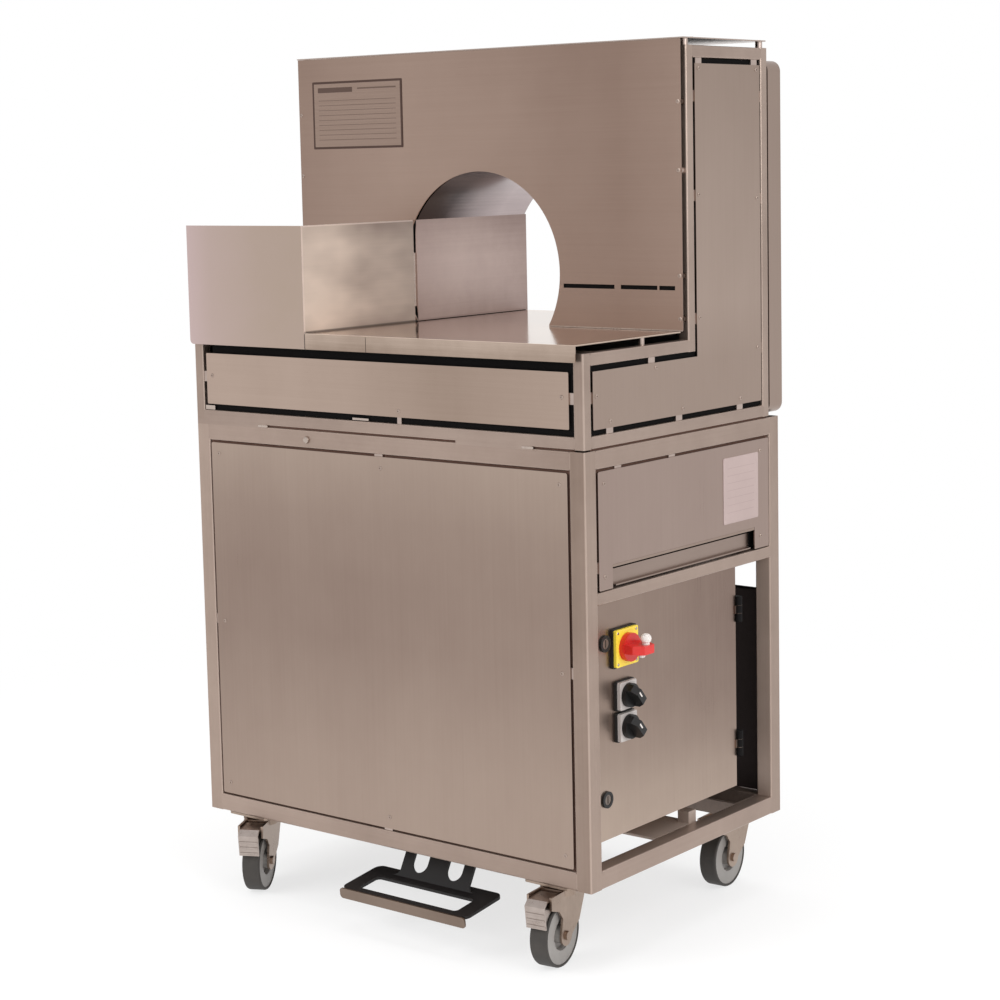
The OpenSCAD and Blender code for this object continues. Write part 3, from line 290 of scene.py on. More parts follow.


# The posts are painted darker on their front faces and towards the right, and lighter on the front faces of the
# rear posts: painted shade and light. Their rounded corners carry a painted highlight.
post_steel = brushed("ground_posts", rgb(184, 164, 152), rgb(132, 113, 101), "Z", 0.36, (4, 4, 3),
                     painted_shading=[("Y", 0.0, 0.3, (0.2, 0.5)), ("X", 0, right_face, (0.8, 0.46)),
                            ("Y", rear_posts - 0.3, rear_posts + 0.3, (0.5, 0.7, 0.5))],
                     edges=0.4, metal=duller_inside)
# The front rails are painted darker towards the right and the side rails lighter: painted shade and light.
# Their rounded corners carry a painted highlight.
rail_steel = brushed("ground_rails", rgb(182, 162, 150), rgb(134, 115, 104), "rails", 0.36, (4, 4, 4),
                     painted_shading=[("X", 0, side_rails, (0.54, 0.5, 0.44, 0.36, 0.3)),
                            ("X", side_rails, side_rails + 1, (0.5, 0.68))], edges=0.3, metal=0.7)
dress(post_steel, "lower_frame_posts")
dress(rail_steel, "lower_frame_rails")


# Seam bolts: bright cap bolts in the top rails, which hold the upper module down on the lower frame.
# One shows in the front rail, and two more hold the rear.
def ring(bm, sides, radius, height):
    """A closed loop of edges at one height of a turned piece."""
    loop = bmesh.ops.create_circle(bm, segments=sides, radius=radius)["verts"]
    bmesh.ops.translate(bm, verts=loop, vec=(0, 0, height))
    return [e for e in bm.edges if e.verts[0] in loop and e.verts[1] in loop]


def stack(rings):
    """A closed head built up from rings: each is bridged to the next, and both ends are filled."""
    bm = bmesh.new()
    loops = [ring(bm, *r) for r in rings]
    for low, high in zip(loops, loops[1:]):
        bmesh.ops.bridge_loops(bm, edges=low + high)
    bmesh.ops.edgeloop_fill(bm, edges=loops[0])
    bmesh.ops.edgeloop_fill(bm, edges=loops[-1])
    bmesh.ops.recalc_face_normals(bm, faces=bm.faces)
    return meshed("head", bm)


FACING = {"-Y": Matrix.Rotation(math.pi / 2, 4, "X"), "+Y": Matrix.Rotation(-math.pi / 2, 4, "X"),
          "+X": Matrix.Rotation(math.pi / 2, 4, "Y"), "-X": Matrix.Rotation(-math.pi / 2, 4, "Y"),
          "+Z": Matrix.Identity(4), "-Z": Matrix.Rotation(math.pi, 4, "X")}


def fix(name, bm, body, material):
    """Makes a piece of a finished shape, with its material and its body."""
    piece = bpy.data.objects.new(name, meshed(name, bm))
    piece.data.materials.append(material)
    scene.collection.objects.link(piece)
    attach(piece, body)


def fasten(name, head, body, material, places):
    """Copies one head to each place, facing the given way, as one piece that rides on its body."""
    bm = bmesh.new()
    for way, place in places:
        old = set(bm.verts)
        bm.from_mesh(head)
        turn = FACING[way] if isinstance(way, str) else way
        bmesh.ops.transform(bm, matrix=Matrix.Translation(place) @ turn,
                            verts=[v for v in bm.verts if v not in old])
    fix(name, bm, body, material)


bolt_z = 684
bolt_steel = brushed("bright_bolt", rgb(206, 192, 182), rgb(170, 154, 144), "Z", 0.26, (60, 60, 60))
dome = stack([(24, 0.0062, -0.001), (24, 0.0062, 0.0016), (24, 0.0056, 0.0034), (24, 0.0042, 0.0046),
              (24, 0.0022, 0.0052)])
fasten("seam_bolts", dome, "machine", bolt_steel,
       [("-Y", spot(265, 0, bolt_z))] + [("+Y", spot(x, rear_face, bolt_z)) for x in (265, 600)])

# Upper frame: 20 mm square stainless tube, welded as one module that stands on pads over the lower frame.
# It has the same satin finish, a little finer.
# The upper tubes carry a painted highlight along their rounded corners, and the posts are painted darker on
# their front faces, a painted shade.
small_steel = brushed("ground_small_rails", rgb(182, 163, 151), rgb(136, 117, 107), "rails", 0.34, (5, 5, 5),
                      edges=0.3, metal=0.8)
dress(brushed("ground_small_posts", rgb(186, 167, 155), rgb(134, 115, 104), "Z", 0.34, (5, 5, 4),
              painted_shading=[("Y", 0.0, 0.3, (0.4, 0.5))], edges=0.4, metal=0.8), "upper_frame_posts")
dress(small_steel, "upper_frame_rails")


# Welds: rails and posts are joined by welds dressed flush with the faces of the tube, all round the frame.
# Each fills the groove between a rail's end and the rounded corner of its post.
# Longer ones close the seam over the pads of the upper frame, with a bright bar at one end that is a painted
# glint.
def block(low, high, soft, steps=2):
    """A small bar between two corners, with softened edges."""
    bm = bmesh.new()
    bmesh.ops.create_cube(bm, size=1)
    bmesh.ops.scale(bm, vec=high - low, verts=bm.verts)
    bmesh.ops.translate(bm, vec=(low + high) / 2, verts=bm.verts)
    bmesh.ops.bevel(bm, geom=list(bm.edges), offset=soft, segments=steps, profile=0.5, affect="EDGES",
                    material=-1)
    return meshed("block", bm)


def bars(name, boxes, soft, material):
    """Small bars between two corners each, as one piece on the machine."""
    bm = bmesh.new()
    for low, high in boxes:
        bm.from_mesh(block(spot(*low), spot(*high), soft))
    fix(name, bm, "machine", material)


def across(skin, joints, levels):
    """Welds on the front or rear of the frame: in its skin, at each joint, over each rail's height."""
    return [((x, skin[0], low + 2), (x + 2.5, skin[1], high - 2)) for x in joints for low, high in levels]


def beside(skin, joints, levels):
    """Welds on a side of the frame, in the same way."""
    return [((skin[0], y, low + 2), (skin[1], y + 2.5, high - 2)) for y in joints for low, high in levels]


def skin_of(face):
    """The outer skin of a face that looks right or to the rear: a weld stands hardly proud of it."""
    return face - 2.2, face + 0.03


near_skin, right_skin, dressed = (-0.03, 2.2), skin_of(right_face), 0.0002
foot, middle, top = (0, tube), (456, 476), (670, 700)
bars("lower_welds", across(near_skin, (27.5, side_rails), (foot, top)) +
     across(skin_of(rear_face), (27.5, side_rails), (foot, middle, top)) +
     beside(right_skin, (27.5, rear_posts), (foot, middle, top)) +
     beside(near_skin, (27.5, rear_posts), (foot, top)), dressed, rail_steel)
base, shelf, crest, upper_rear = (703, 723), (832, 852), (1306, 1326), 534
side_welds = [weld for skin in (right_skin, near_skin)
              for weld in beside(skin, (17.5, 514), (base,)) + beside(skin, (17.5, 290), (shelf,)) +
              beside(skin, (307.5, 514), (crest,))]
bars("upper_welds", across(near_skin, (17.5, 830), (base,)) +
     across(skin_of(upper_rear), (17.5, 830), (base, crest)) + side_welds, dressed, small_steel)
pads = ((1.5, 170), (593, 748))
bars("pad_welds", [((start, -0.03, 697.3), (end, 2.6, 705.7)) for start, end in pads], dressed, small_steel)
bars("pad_end_glints", [((end - 20, -0.6, 699.4), (end + 3, 1.6, 703.4)) for start, end in pads], 0.0006,
     bolt_steel)

# Cabinet panels: 2 mm stainless sheet, brushed upright, set flush into the frame on welded tabs.
# Each is held by small socket screws near its edges, with a dark gap all round it.
# The sheet is painted lighter at its top and foot and darker across its middle: painted light and shade.
sheet_steel = brushed("brushed_sheet", rgb(178, 159, 146), rgb(140, 120, 110), "Z", 0.33, (1.7, 1.7, 1.1),
                      painted_shading=[("Z", 35, 665, (0.62, 0.58, 0.46, 0.32, 0.34, 0.5, 0.86))])
dress(sheet_steel, "front_panel", "cabinet_panels")
# The tabs are painted lighter than the sheet round them, a painted glint. The spacers in the gap behind the
# tower cover are painted dark, a painted shade; one tab higher up keeps the lighter tone.
tabs, wire = coat("tab_steel")
cloud = grain(wire, (30, 30, 30), 3.0)
lone_tab = band(wire, along(wire, "Z"), 1110, 1140)
spacer_shade = band(wire, along(wire, "Y"), 281.5, 290.5) * (1 - lone_tab)
tab_glint = blend(wire, cloud, rgb(158, 141, 132), rgb(204, 187, 178))
paint(wire, Base_Color=blend(wire, spacer_shade, tab_glint, rgb(92, 78, 70)), Metallic=1.0, Roughness=cloud * 0.2 + 0.25)
dress(tabs, "cover_mounts")
screw_steel = brushed("screw_steel", rgb(190, 173, 162), rgb(152, 134, 124), "Z", 0.3, (90, 90, 90))
screw = stack([(18, 0.0036, -0.0008), (18, 0.0036, 0.0003), (18, 0.0029, 0.0011), (6, 0.0014, 0.0012),
               (6, 0.0013, 0.0002)])


def screw_down(name, places):
    """Panel screws at each place, facing the given way."""
    fasten(name, screw, "machine", screw_steel, places)


rim = [(52, 54), (430, 54), (800, 54), (52, 348), (800, 348), (52, 647), (430, 647), (800, 647)]
screw_down("front_panel_screws", [("-Y", spot(x, 0, z)) for x, z in rim])
screw_down("side_panel_screws", [("-X", spot(0, y, z)) for y in (52, 282, 512) for z in (54, 647)] +
           [("+Y", spot(x, rear_face, z)) for x in (52, 425, 798) for z in (494, 650)])

# Lower rear panel: the same sheet in a black coat, held by the same screws.
# Bearer and floor pan: folded from plain mill-finish sheet and left as they come.
black, wire = coat("black_coat")
pores = grain(wire, (700, 700, 700), 3.0)
dust = grain(wire, (6, 6, 3), 3.0)
paint(wire, Base_Color=blend(wire, dust * 0.9 - 0.2, rgb(21, 19, 19), rgb(38, 34, 33)), Metallic=0.0,
      Specular_IOR_Level=0.35, Roughness=dust * 0.2 + 0.4,
      Normal=wire.node("Bump", sockets={"Strength": 0.3, "Distance": 0.0001, "Height": pores}))
dress(black, "rear_panel")
screw_down("rear_panel_screws", [("+Y", spot(x, rear_face, 46)) for x in (46, 425, 804)] +
           [("+Y", spot(x, rear_face, 343)) for x in (46, 804)])
# The floor pan is painted darker towards the rear, a painted shade inside the cabinet.
dress(brushed("plain_sheet", rgb(196, 178, 166), rgb(104, 90, 82), "Y", 0.42, (3, 3, 3),
              painted_shading=[("Y", 400, 470, (0.76, 0.1))], metal=0.3), "base_pan")

# Service panel and waste tray: the panel hangs above the middle rail with a long notch at its foot.
# Its edge there is folded to a hem. The tray is folded sheet with a finger lip, and slides on two angles.
dress(brushed("service_sheet", rgb(176, 157, 147), rgb(146, 126, 118), "Z", 0.32, (1.7, 1.7, 1.1)),
      "right_service_panel")
screw_down("service_panel_screws", [("+X", spot(right_face, y, z)) for y in (50, 504) for z in (499, 646)])
bars("notch_hem", [((848, 70.2, 511.2), (right_face, 484.8, 516))], 0.0006, sheet_steel)
dress(brushed("tray_steel", rgb(166, 148, 138), rgb(138, 120, 111), "Y", 0.32, (2, 2, 2)), "waste_tray")


# Data plate: a pale printed foil on the service panel, blank but for faint ruled lines.
# It is stuck on, with rounded corners, and picks up a little of the room like the steel under it.
def plate(name, low, high, corner_r, material):
    """A thin plate with rounded corners, lying against the face of the machine it is fixed to."""
    low, high = spot(*low), spot(*high)
    size = high - low
    bm = bmesh.new()
    bmesh.ops.create_cube(bm, size=1)
    bmesh.ops.scale(bm, vec=size, verts=bm.verts)
    thin = min(range(3), key=lambda k: size[k])
    short = [e for e in bm.edges if abs((e.verts[0].co - e.verts[1].co)[thin]) > 0.9 * size[thin]]
    bmesh.ops.bevel(bm, geom=short, offset=corner_r, segments=5, profile=0.5, affect="EDGES", material=-1)
    bmesh.ops.translate(bm, verts=bm.verts, vec=(low + high) / 2)
    fix(name, bm, "machine", material)


def rules(wire, sideways, upward, width, height, first, pitch):
    """Ruled lines across a plate, measured from its middle."""
    row = wire.node("Math", {"operation": "WRAP"}, {0: upward, 1: pitch / 2, 2: -pitch / 2})
    block_of_lines = band(wire, sideways, -width / 2, width / 2) * band(wire, upward, -height / 2, first)
    return band(wire, row, -0.0005, 0.0005) * block_of_lines


def from_middle(wire, low, high):
    """The three coordinates measured from the middle of a plate."""
    place = wire.node("VectorMath", {"operation": "SUBTRACT"},
                      {0: wire.node("TexCoord", out="Object"), 1: (spot(*low) + spot(*high)) / 2})
    return [wire.node("SeparateXYZ", sockets={0: place}, out=axis) for axis in "XYZ"]


foil_low, foil_high = (849.9, 388, 533), (850.6, 496, 645)
foil, wire = coat("pale_foil")
_, sideways, upward = from_middle(wire, foil_low, foil_high)
ink = rules(wire, sideways, upward, 0.084, 0.094, 0.044, 0.0125)
cloud = grain(wire, (14, 14, 14), 3.0)
ground_tone = blend(wire, cloud, rgb(174, 154, 150), rgb(190, 169, 165))
paint(wire, Base_Color=blend(wire, ink * 0.45, ground_tone, rgb(158, 137, 132)), Metallic=0.35,
      Roughness=cloud * 0.15 + 0.28)
plate("data_plate", foil_low, foil_high, 0.003, foil)

# Base covers: a narrow front panel and two L-shaped side covers of brushed sheet.
# They are screwed to tabs on the tubes, with wide dark gaps all round, where two bright bars show as painted
# glints.
# The front panel and the side covers are painted with slow runs of light and shade: painted shading.
dress(brushed("base_sheet", rgb(192, 171, 158), rgb(150, 130, 116), "X", 0.32, (1.7, 1.7, 1.0),
              painted_shading=[("X", 24, 826, (0.78, 0.76, 0.76, 0.68, 0.56, 0.36, 0.5, 0.62))]), "base_front_panel")
dress(brushed("side_sheet", rgb(178, 159, 148), rgb(148, 129, 117), "Z", 0.32, (1.7, 1.7, 1.0),
              painted_shading=[("Z", 720, 1290, (0.44, 0.46, 0.72, 0.64, 0.56, 0.44, 0.34))]),
      "right_side_cover", "left_side_cover")
bars("gap_glints", [((22, 1.0, 723.6), (45, 2.6, 731.2)), ((370, 1.0, 724.2), (406, 2.6, 728.0))], 0.0003,
     bolt_steel)
screw_down("base_front_screws", [("-Y", spot(x, 0, z)) for x, z in ((42, 784), (808, 784), (473, 744))])
cover_rim = [(70, 742), (272, 742), (444, 742), (196, 815), (34, 784), (326, 1289), (499, 1289),
             (324, 886), (324, 1086), (500, 824), (500, 1076)]
for side, way, x in (("right", "+X", right_face), ("left", "-X", 0)):
    screw_down(side + "_cover_screws", [(way, spot(x, y, z)) for y, z in cover_rim])


# Shade liners: thin black felt boards fixed behind the tabs. They are dark sheets put where the gaps round the
# covers show only shade, so that no light shows through them. They line the panels and covers on every side,
# the slots of the tower, the seam and the end of the notch. The felt is painted brown in the seam and behind
# two panels and grey at the lower rear, a painted shade of the tone those gaps show.
def felted(name, dark, light):
    """Matt felt with a short nap."""
    made, wire = coat(name)
    nap = grain(wire, (300, 300, 300), 3.0)
    paint(wire, Base_Color=blend(wire, nap, dark, light), Metallic=0.0, Roughness=nap * 0.1 + 0.85,
          Specular_IOR_Level=0.1)
    return made


shade_felt = felted("black_shade_felt", rgb(9, 8, 8), rgb(20, 18, 18))
grey_shade_felt = felted("grey_shade_felt", rgb(50, 44, 43), rgb(64, 57, 56))
brown_shade_felt = felted("brown_shade_felt", rgb(88, 67, 59), rgb(108, 83, 73))
shade_lining = {"rear_low": grey_shade_felt, "front": brown_shade_felt, "service": brown_shade_felt}
for name, low, high in (("front", (30.6, 5.0, 30.6), (819.4, 5.8, 669.4)),
                        ("base", (40, 5.0, 723.5), (829.4, 5.8, 860)),
                        ("right_low", (844.2, 20.6, 723.6), (844.9, 513.4, 831.4)),
                        ("right_high", (844.2, 310.6, 831.4), (844.9, 513.4, 1305.4)),
                        ("left_low", (5.1, 20.6, 723.6), (5.8, 513.4, 831.4)),
                        ("left_high", (5.1, 310.6, 831.4), (5.8, 513.4, 1305.4)),
                        ("service", (844.2, 30.6, 518), (844.9, 533.4, 669.4)),
                        ("notch", (836.2, 483, 477), (837, 533.8, 560)),
                        ("rear_low", (30.6, 558.2, 30.4), (819.4, 558.9, 390)),
                        ("rear_high", (30.6, 558.2, 476.6), (819.4, 558.9, 669.4)),
                        ("side_low", (5.1, 30.6, 30.6), (5.8, 533.4, 455.4)),
                        ("side_high", (5.1, 30.6, 476.6), (5.8, 533.4, 669.4)),
                        ("slots_right", (603, 282.1, 926), (838, 282.8, 946)),
                        ("slots_left", (12, 282.1, 926), (247, 282.8, 946))):
    plate("dust_liner_" + name, low, high, 0.002, shade_lining.get(name, shade_felt))
bars("seam_shade_liner", [((171, 4, 700.1), (592, 5, 702.9)), ((749, 4, 700.1), (829, 5, 702.9)),
                    ((845, 20, 700.1), (846, 530, 702.9))], 0.0002, brown_shade_felt)

# Tower covers: large brushed sheets that stand off their frame on spacers.
# The front one has the arch cut out and a row of slots above each foot; the rear one is a deep folded pan.
# Light strips close the gap under the two feet of the front one.
tower_front, tower_rear, tower_top, table_top = 280, 576, 1338.5, 866
# The front cover is painted lightest a little left of its middle and darker towards its right: painted light
# and shade.
dress(brushed("tower_sheet", rgb(176, 153, 140), rgb(138, 115, 103), "X", 0.32, (1.2, 1.2, 0.9),
              painted_shading=[("X", 5, 845, (0.4, 0.58, 0.74, 0.7, 0.56, 0.36, 0.2, 0.44))]), "tower_front_cover")
feet = ((6, 270), (573, 844))
bars("foot_strips", [((start, tower_front - 0.6, 865.9), (end, tower_front + 2, 868.4)) for start, end in feet],
     0.0004, screw_steel)
dress(brushed("rear_sheet", rgb(172, 153, 142), rgb(142, 123, 112), "Z", 0.32, (1.2, 1.2, 0.9)), "rear_cover")
dress(brushed("top_sheet", rgb(190, 174, 164), rgb(164, 146, 137), "X", 0.22, (1.5, 1.5, 1.5)), "top_cover")
screw_down("tower_screws",
           [("-Y", spot(x, tower_front, z)) for x in (10, 840) for z in (886, 956, 1126, 1236)] +
           [("+Y", spot(x, tower_rear, z)) for x in (30, 820) for z in (753, 1066, 1236)] +
           [("+Z", spot(x, y, tower_top)) for x in (10, 840) for y in (320, 524)])

# Instruction plate: a thin printed sheet on the tower, with a dark frame, one bold rule and fine ruled lines.
# It is stuck on the brushed front, whose tone shows through its clear ground.
sheet_low, sheet_high = (40, 279.2, 1174), (255, 280.05, 1295)
printed, wire = coat("printed_plate")
sideways, _, upward = from_middle(wire, sheet_low, sheet_high)
frame_line = 1 - band(wire, sideways, -0.1035, 0.1035) * band(wire, upward, -0.0565, 0.0565)
ink = rules(wire, sideways, upward, 0.186, 0.096, 0.032, 0.0088) * 0.6
bold = band(wire, sideways, -0.094, -0.01) * band(wire, upward, 0.0405, 0.0495)
cloud = grain(wire, (7, 520, 520), 3.0)
clear = blend(wire, cloud, rgb(140, 119, 107), rgb(158, 137, 125))
thin = band(wire, sideways, 0.002, 0.094) * band(wire, upward, 0.0452, 0.0478)
lines, title = wire.math("MAXIMUM", frame_line, ink), wire.math("MAXIMUM", bold * 0.85, thin * 0.7)
paint(wire, Base_Color=blend(wire, wire.math("MAXIMUM", lines, title), clear, rgb(84, 66, 60)), Metallic=0.85,
      Roughness=cloud * 0.15 + 0.28)
plate("instruction_plate", sheet_low, sheet_high, 0.002, printed)

# Table and floor of the tunnel: smooth bright sheet that goods slide on, polished along their way.
# The table has a folded front lip in two lengths, and the floor carries on behind the tower.
# A narrow strip let in flush joins the two.
# The table is painted darker low on the lip, lighter on the top than on the lip, and lightest across its
# middle: painted light and reflection.
table_steel = brushed("polished_table", rgb(240, 220, 204), rgb(138, 118, 104), "X", 0.12, (2.4, 2.4, 2.4),
                      depth=0.000004,
                      painted_shading=[("Z", 836, 863, (0.38, 0.5, 0.56)), ("Z", 865.2, 865.9, (0.24, 0.82)),
                             ("X", 275, 845, (0.54, 0.57, 0.45))])
dress(table_steel, "infeed_table", "tunnel_floor", "side_table")
bars("floor_strip", [((276, 277.4, table_top - 1.8), (577, 284.6, table_top + 0.03))], 0.0001, table_steel)

# Fence: an L of brushed sheet in front, and a straight length through the tunnel.
# The face that goods rub along carries a painted sheen in long blotchy patches, with a painted highlight along
# its front edge and top and a painted shadow along its foot; the front of the L is as it left the belt, painted
# lighter towards its left end.
# A bright splice on the far side joins the two, and a dark strip that closes the foot of the second is a
# painted shadow.
fence_top, fence_back, fence_end = 1046, -9.4, 603
fence_sheen_coat, wire = coat("fence_painted_sheen")
fine, coarse = strokes(wire, "Y")
patch = grain(wire, (12, 7, 17), 2.0)
y, z = along(wire, "Y"), along(wire, "Z")
inside = wire.math("GREATER_THAN", y, fence_back)
# The inner face is painted brighter towards its front edge and low down, a painted sheen.
inward = painted_shading_run(wire, "Y", -9.5, 278, (0.84, 0.92, 0.84, 0.54, 0.5, 0.5, 0.5))
upward = painted_shading_run(wire, "Z", table_top, fence_top, (0.26, 0.62, 0.54, 0.5, 0.5, 0.26))
gleam = inward + upward + patch * 0.9 + fine * 0.14 + coarse * 0.1 - 1.07
# A painted shadow along the foot of the inner face.
foot_shadow = 1 - ease(wire, z, 867.5, 870)
inner_sheen = blend(wire, gleam, rgb(138, 122, 114), rgb(222, 205, 191))
inner_sheen = blend(wire, foot_shadow * 0.75, inner_sheen, rgb(70, 58, 50))
# A painted highlight along the front edge and the top of the inner face.
lit_edge = wire.math("MAXIMUM", band(wire, y, fence_back, -5.5), wire.math("GREATER_THAN", z, fence_top - 2.4))
inner_sheen = blend(wire, lit_edge * 0.65, inner_sheen, rgb(228, 210, 200))
# The front of the L is painted lighter towards its left end, painted light.
outward = painted_shading_run(wire, "X", 0, 280, (0.95, 0.5, 0.36, 0.2, 0.12, 0.12))
plain = blend(wire, outward + patch * 0.2 + fine * 0.2 - 0.2, rgb(179, 160, 145), rgb(204, 182, 180))
paint(wire, Base_Color=blend(wire, inside, plain, inner_sheen), Metallic=1 - inside * 0.55,
      Roughness=inside * 0.16 + patch * 0.12 + fine * 0.08 + 0.22,
      Normal=wire.node("Bump", sockets={"Strength": 0.3, "Distance": 0.00003, "Height": fine}))
dress(fence_sheen_coat, "front_fence")
# The second length is painted darker towards the rear, at its top and at its foot, with a dark painted shadow
# line where it meets the floor.
dress(brushed("brushed_fence", rgb(206, 185, 177), rgb(150, 130, 124), "Y", 0.36, (5, 5, 5),
              painted_shading=[("Y", tower_front, fence_end, (0.64, 0.58, 0.54, 0.36, 0.26, 0.2)),
                     ("Z", table_top, fence_top, (0.2, 0.42, 0.6, 0.66, 0.55, 0.34)),
                     ("Z", table_top + 1, table_top + 4.5, (-0.7, 0.5))]), "rear_fence")
bars("fence_splice", [((271.4, 268, 893), (272.95, 298, 988))], 0.0003, bolt_steel)
bars("fence_foot_shade", [((274.9, 287, table_top - 0.1), (275.8, 596, table_top + 0.9))], 0.0002, shade_felt)

# Tunnel: a rolled liner of thin bright sheet that stands on the floor and on the fence.
# It is brushed along the way of the goods.
# The liner is painted dark along its front and left and lighter towards the rear, a painted shade.
dress(brushed("rolled_liner", rgb(210, 194, 193), rgb(60, 50, 50), "Y", 0.22, (2, 1.2, 2),
              painted_shading=[("Y", 282, 600, (0.0, 0.1, 0.5, 0.8, 0.85)), ("X", 253, 430, (0.3, 0.5, 0.56))]),
      "tunnel_liner")

# Band head behind the covers: milled aluminium plate and housing, a black slide track round the tunnel,
# a hard ground press, rubber rollers and a painted motor, all bolted to the plate.
dress(brushed("milled_plate", rgb(166, 166, 166), rgb(132, 132, 134), "X", 0.40, (5, 5, 5)),
      "track_plate", "head_housing")
dress(brushed("ground_press", rgb(196, 192, 188), rgb(164, 160, 156), "Z", 0.24, (20, 20, 20)), "seal_press")


def moulded(name, light, dark, rough, shine=0.5):
    """Moulded or painted skin: a fine pebbled bump and a slow change of tone."""
    made, wire = coat(name)
    pebble = grain(wire, (900, 900, 900))
    slow = grain(wire, (22, 22, 22), 3.0)
    bump = wire.node("Bump", sockets={"Strength": 0.35, "Distance": 0.00006, "Height": pebble})
    paint(wire, Base_Color=blend(wire, slow, dark, light), Metallic=0.0, Specular_IOR_Level=shine,
          Roughness=slow * 0.2 + (rough - 0.1), Normal=bump)
    return made


dress(moulded("motor_paint", rgb(128, 130, 132), rgb(108, 110, 112), 0.45), "feed_motor")
dress(moulded("slide_plastic", rgb(40, 40, 42), rgb(26, 26, 28), 0.42), "band_track")
dress(moulded("roller_rubber", rgb(44, 43, 42), rgb(28, 27, 27), 0.7), "feed_roller", "pinch_roller")

# Electrical enclosure: a brushed box with a folded door on pin hinges, which are painted black with their
# sleeves so that they sink into the shade of the gap beside the door.
# Two quarter-turn locks sit in black collars near its front edge, with a slot for the key.
# Door and box are painted lighter towards their foot and towards the front: painted light and shade.
dress(brushed("door_sheet", rgb(182, 163, 149), rgb(134, 114, 104), "Z", 0.31, (2.0, 2.0, 1.4),
              painted_shading=[("Z", 60, 450, (0.86, 0.72, 0.42, 0.26, 0.2, 0.18, 0.18)),
                     ("Y", 60, 456, (0.54, 0.52, 0.5, 0.46, 0.34))]), "enclosure_door", "enclosure_box")
hinge_shade_black = moulded("hinge_shade_black", rgb(22, 20, 20), rgb(12, 11, 11), 0.7, 0.12)
dress(hinge_shade_black, "door_hinges")
sleeve = stack([(24, 0.0058, 0), (24, 0.00615, 0.0004), (24, 0.00615, 0.0137), (24, 0.0058, 0.0141)])
fasten("hinge_sleeves", sleeve, "door", hinge_shade_black,
       [("+Z", spot(842, 445, z)) for z in (139, 373)])
dress(moulded("lock_grey", rgb(112, 99, 91), rgb(84, 73, 66), 0.36), "door_lock_upper", "door_lock_lower")

# Main switch: a black seal, a yellow plate with four screws and a red turning handle.
# A pale padlock slide passes through its grip, with a round head above and a small tip below.
dress(moulded("seal_black", rgb(28, 26, 26), rgb(17, 16, 16), 0.6), "switch_gaskets")
dress(moulded("switch_yellow", rgb(246, 224, 80), rgb(238, 206, 46), 0.36), "main_switch_plate")
dress(moulded("switch_red", rgb(220, 46, 38), rgb(196, 26, 24), 0.32), "main_switch_handle")
plate_screw = stack([(16, 0.0024, -0.0006), (16, 0.0024, 0.0004), (16, 0.0018, 0.0010), (4, 0.0009, 0.0011),
                     (4, 0.0008, 0.0003)])
dial_y, switch_z = 106, 378
fasten("switch_plate_screws", plate_screw, "door", bolt_steel,
       [("+X", spot(right_face, dial_y + a, switch_z + b)) for a in (-25, 25) for b in (-25, 25)])
pale_plastic = moulded("slide_pale", rgb(236, 229, 224), rgb(214, 205, 200), 0.3)
round_head = stack([(20, 0.0058, -0.0050), (20, 0.0058, 0.0012), (20, 0.0080, 0.0042), (20, 0.0090, 0.0078),
                    (20, 0.0079, 0.0121), (20, 0.0050, 0.0149), (20, 0.0022, 0.0158)])
small_tip = stack([(16, 0.0052, -0.0012), (16, 0.0052, 0.0040), (16, 0.0042, 0.0060), (16, 0.0020, 0.0070)])
for name, shape, way, place in (("slide_head", round_head, "+Z", spot(885, 108, 387)),
                                ("slide_tip", small_tip, "-Z", spot(880, 104, 371))):
    fasten(name, shape, "main_switch", pale_plastic, [(way, place)])

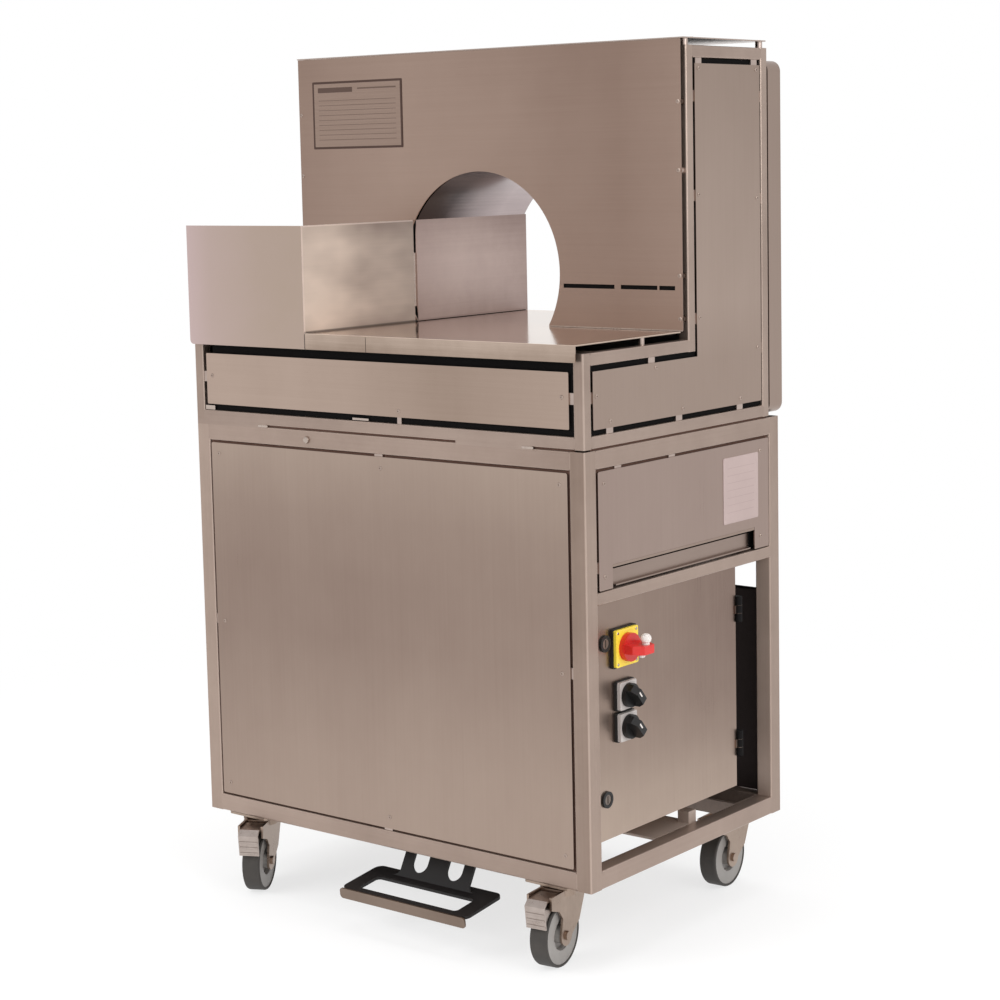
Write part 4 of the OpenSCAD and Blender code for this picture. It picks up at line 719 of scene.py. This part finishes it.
# Selectors: light square bezels on black seals, with black turning knobs.
# Each knob has a white line let into the end of its grip.
dress(moulded("bezel_grey", rgb(196, 188, 184), rgb(172, 164, 160), 0.36), "selector_bezels")
dress(moulded("knob_black", rgb(26, 24, 24), rgb(15, 14, 14), 0.4, 0.35),
      "selector_knob_upper", "selector_knob_lower")
knob_turn = Matrix.Rotation(math.radians(40), 4, "X")
line = block(Vector((0.0262, -0.0013, 0.001)), Vector((0.0274, 0.0013, 0.0112)), 0.0003)
for which, z in (("upper", 300), ("lower", 249)):
    fasten("index_line_" + which, line, "selector_" + which, pale_plastic,
           [(knob_turn, spot(851, dial_y, z))])

# Foot pedal: a black coated loop of flat bar with three neck struts on a cross shaft.
# A bright strip is welded along its front edge.
dress(black, "foot_pedal")
dress(brushed("strip_steel", rgb(150, 133, 121), rgb(116, 100, 89), "X", 0.34, (9, 9, 9)),
      "pedal_tread", "pedal_shaft")

# Casters: pressed bright forks on ball races, grey cores with dark elastic treads.
# The front two have a bent brake pedal over the tread, with three ribs pressed across its face.
corners = ("fl", "fr", "rl", "rr")
fork_steel = brushed("pressed_fork", rgb(184, 165, 151), rgb(132, 114, 101), "Z", 0.3, (18, 18, 18))
dress(fork_steel, "caster_plates", *["caster_fork_" + c for c in corners])
brake_steel = brushed("pressed_brake", rgb(200, 188, 181), rgb(148, 134, 126), "X", 0.30, (60, 60, 60))
dress(brake_steel, "caster_brake_fl", "caster_brake_fr")
half_rib = Vector((0.017, 0.0015, 0.0021))
rib = block(-half_rib, half_rib, 0.0013, 3)
swivel_y = 35
down_the_face = [Vector((0, -0.0784, -0.036)), Vector((0, -0.077, -0.046)), Vector((0, -0.0756, -0.0562))]
for which, x, heading in (("fl", 90, 27), ("fr", 760, 7)):
    turn = Matrix.Rotation(math.radians(heading), 4, "Z")
    lean = turn @ Matrix.Rotation(math.radians(7.7), 4, "X")
    fasten("brake_ribs_" + which, rib, "brake_" + which, brake_steel,
           [(lean, spot(x, swivel_y, 0) + turn @ place) for place in down_the_face])
dress(moulded("wheel_core", rgb(158, 154, 150), rgb(136, 131, 127), 0.42),
      *["caster_rim_" + c for c in corners])
tread, wire = coat("elastic_tread")
pores = grain(wire, (420, 420, 420), 3.0)
scuff = grain(wire, (40, 40, 40), 4.0)
paint(wire, Base_Color=blend(wire, scuff * 1.2 - 0.2, rgb(50, 47, 44), rgb(72, 67, 63)), Metallic=0.0,
      Roughness=scuff * 0.2 + 0.55,
      Normal=wire.node("Bump", sockets={"Strength": 0.4, "Distance": 0.0002, "Height": pores}))
dress(tread, *["caster_tyre_" + c for c in corners])
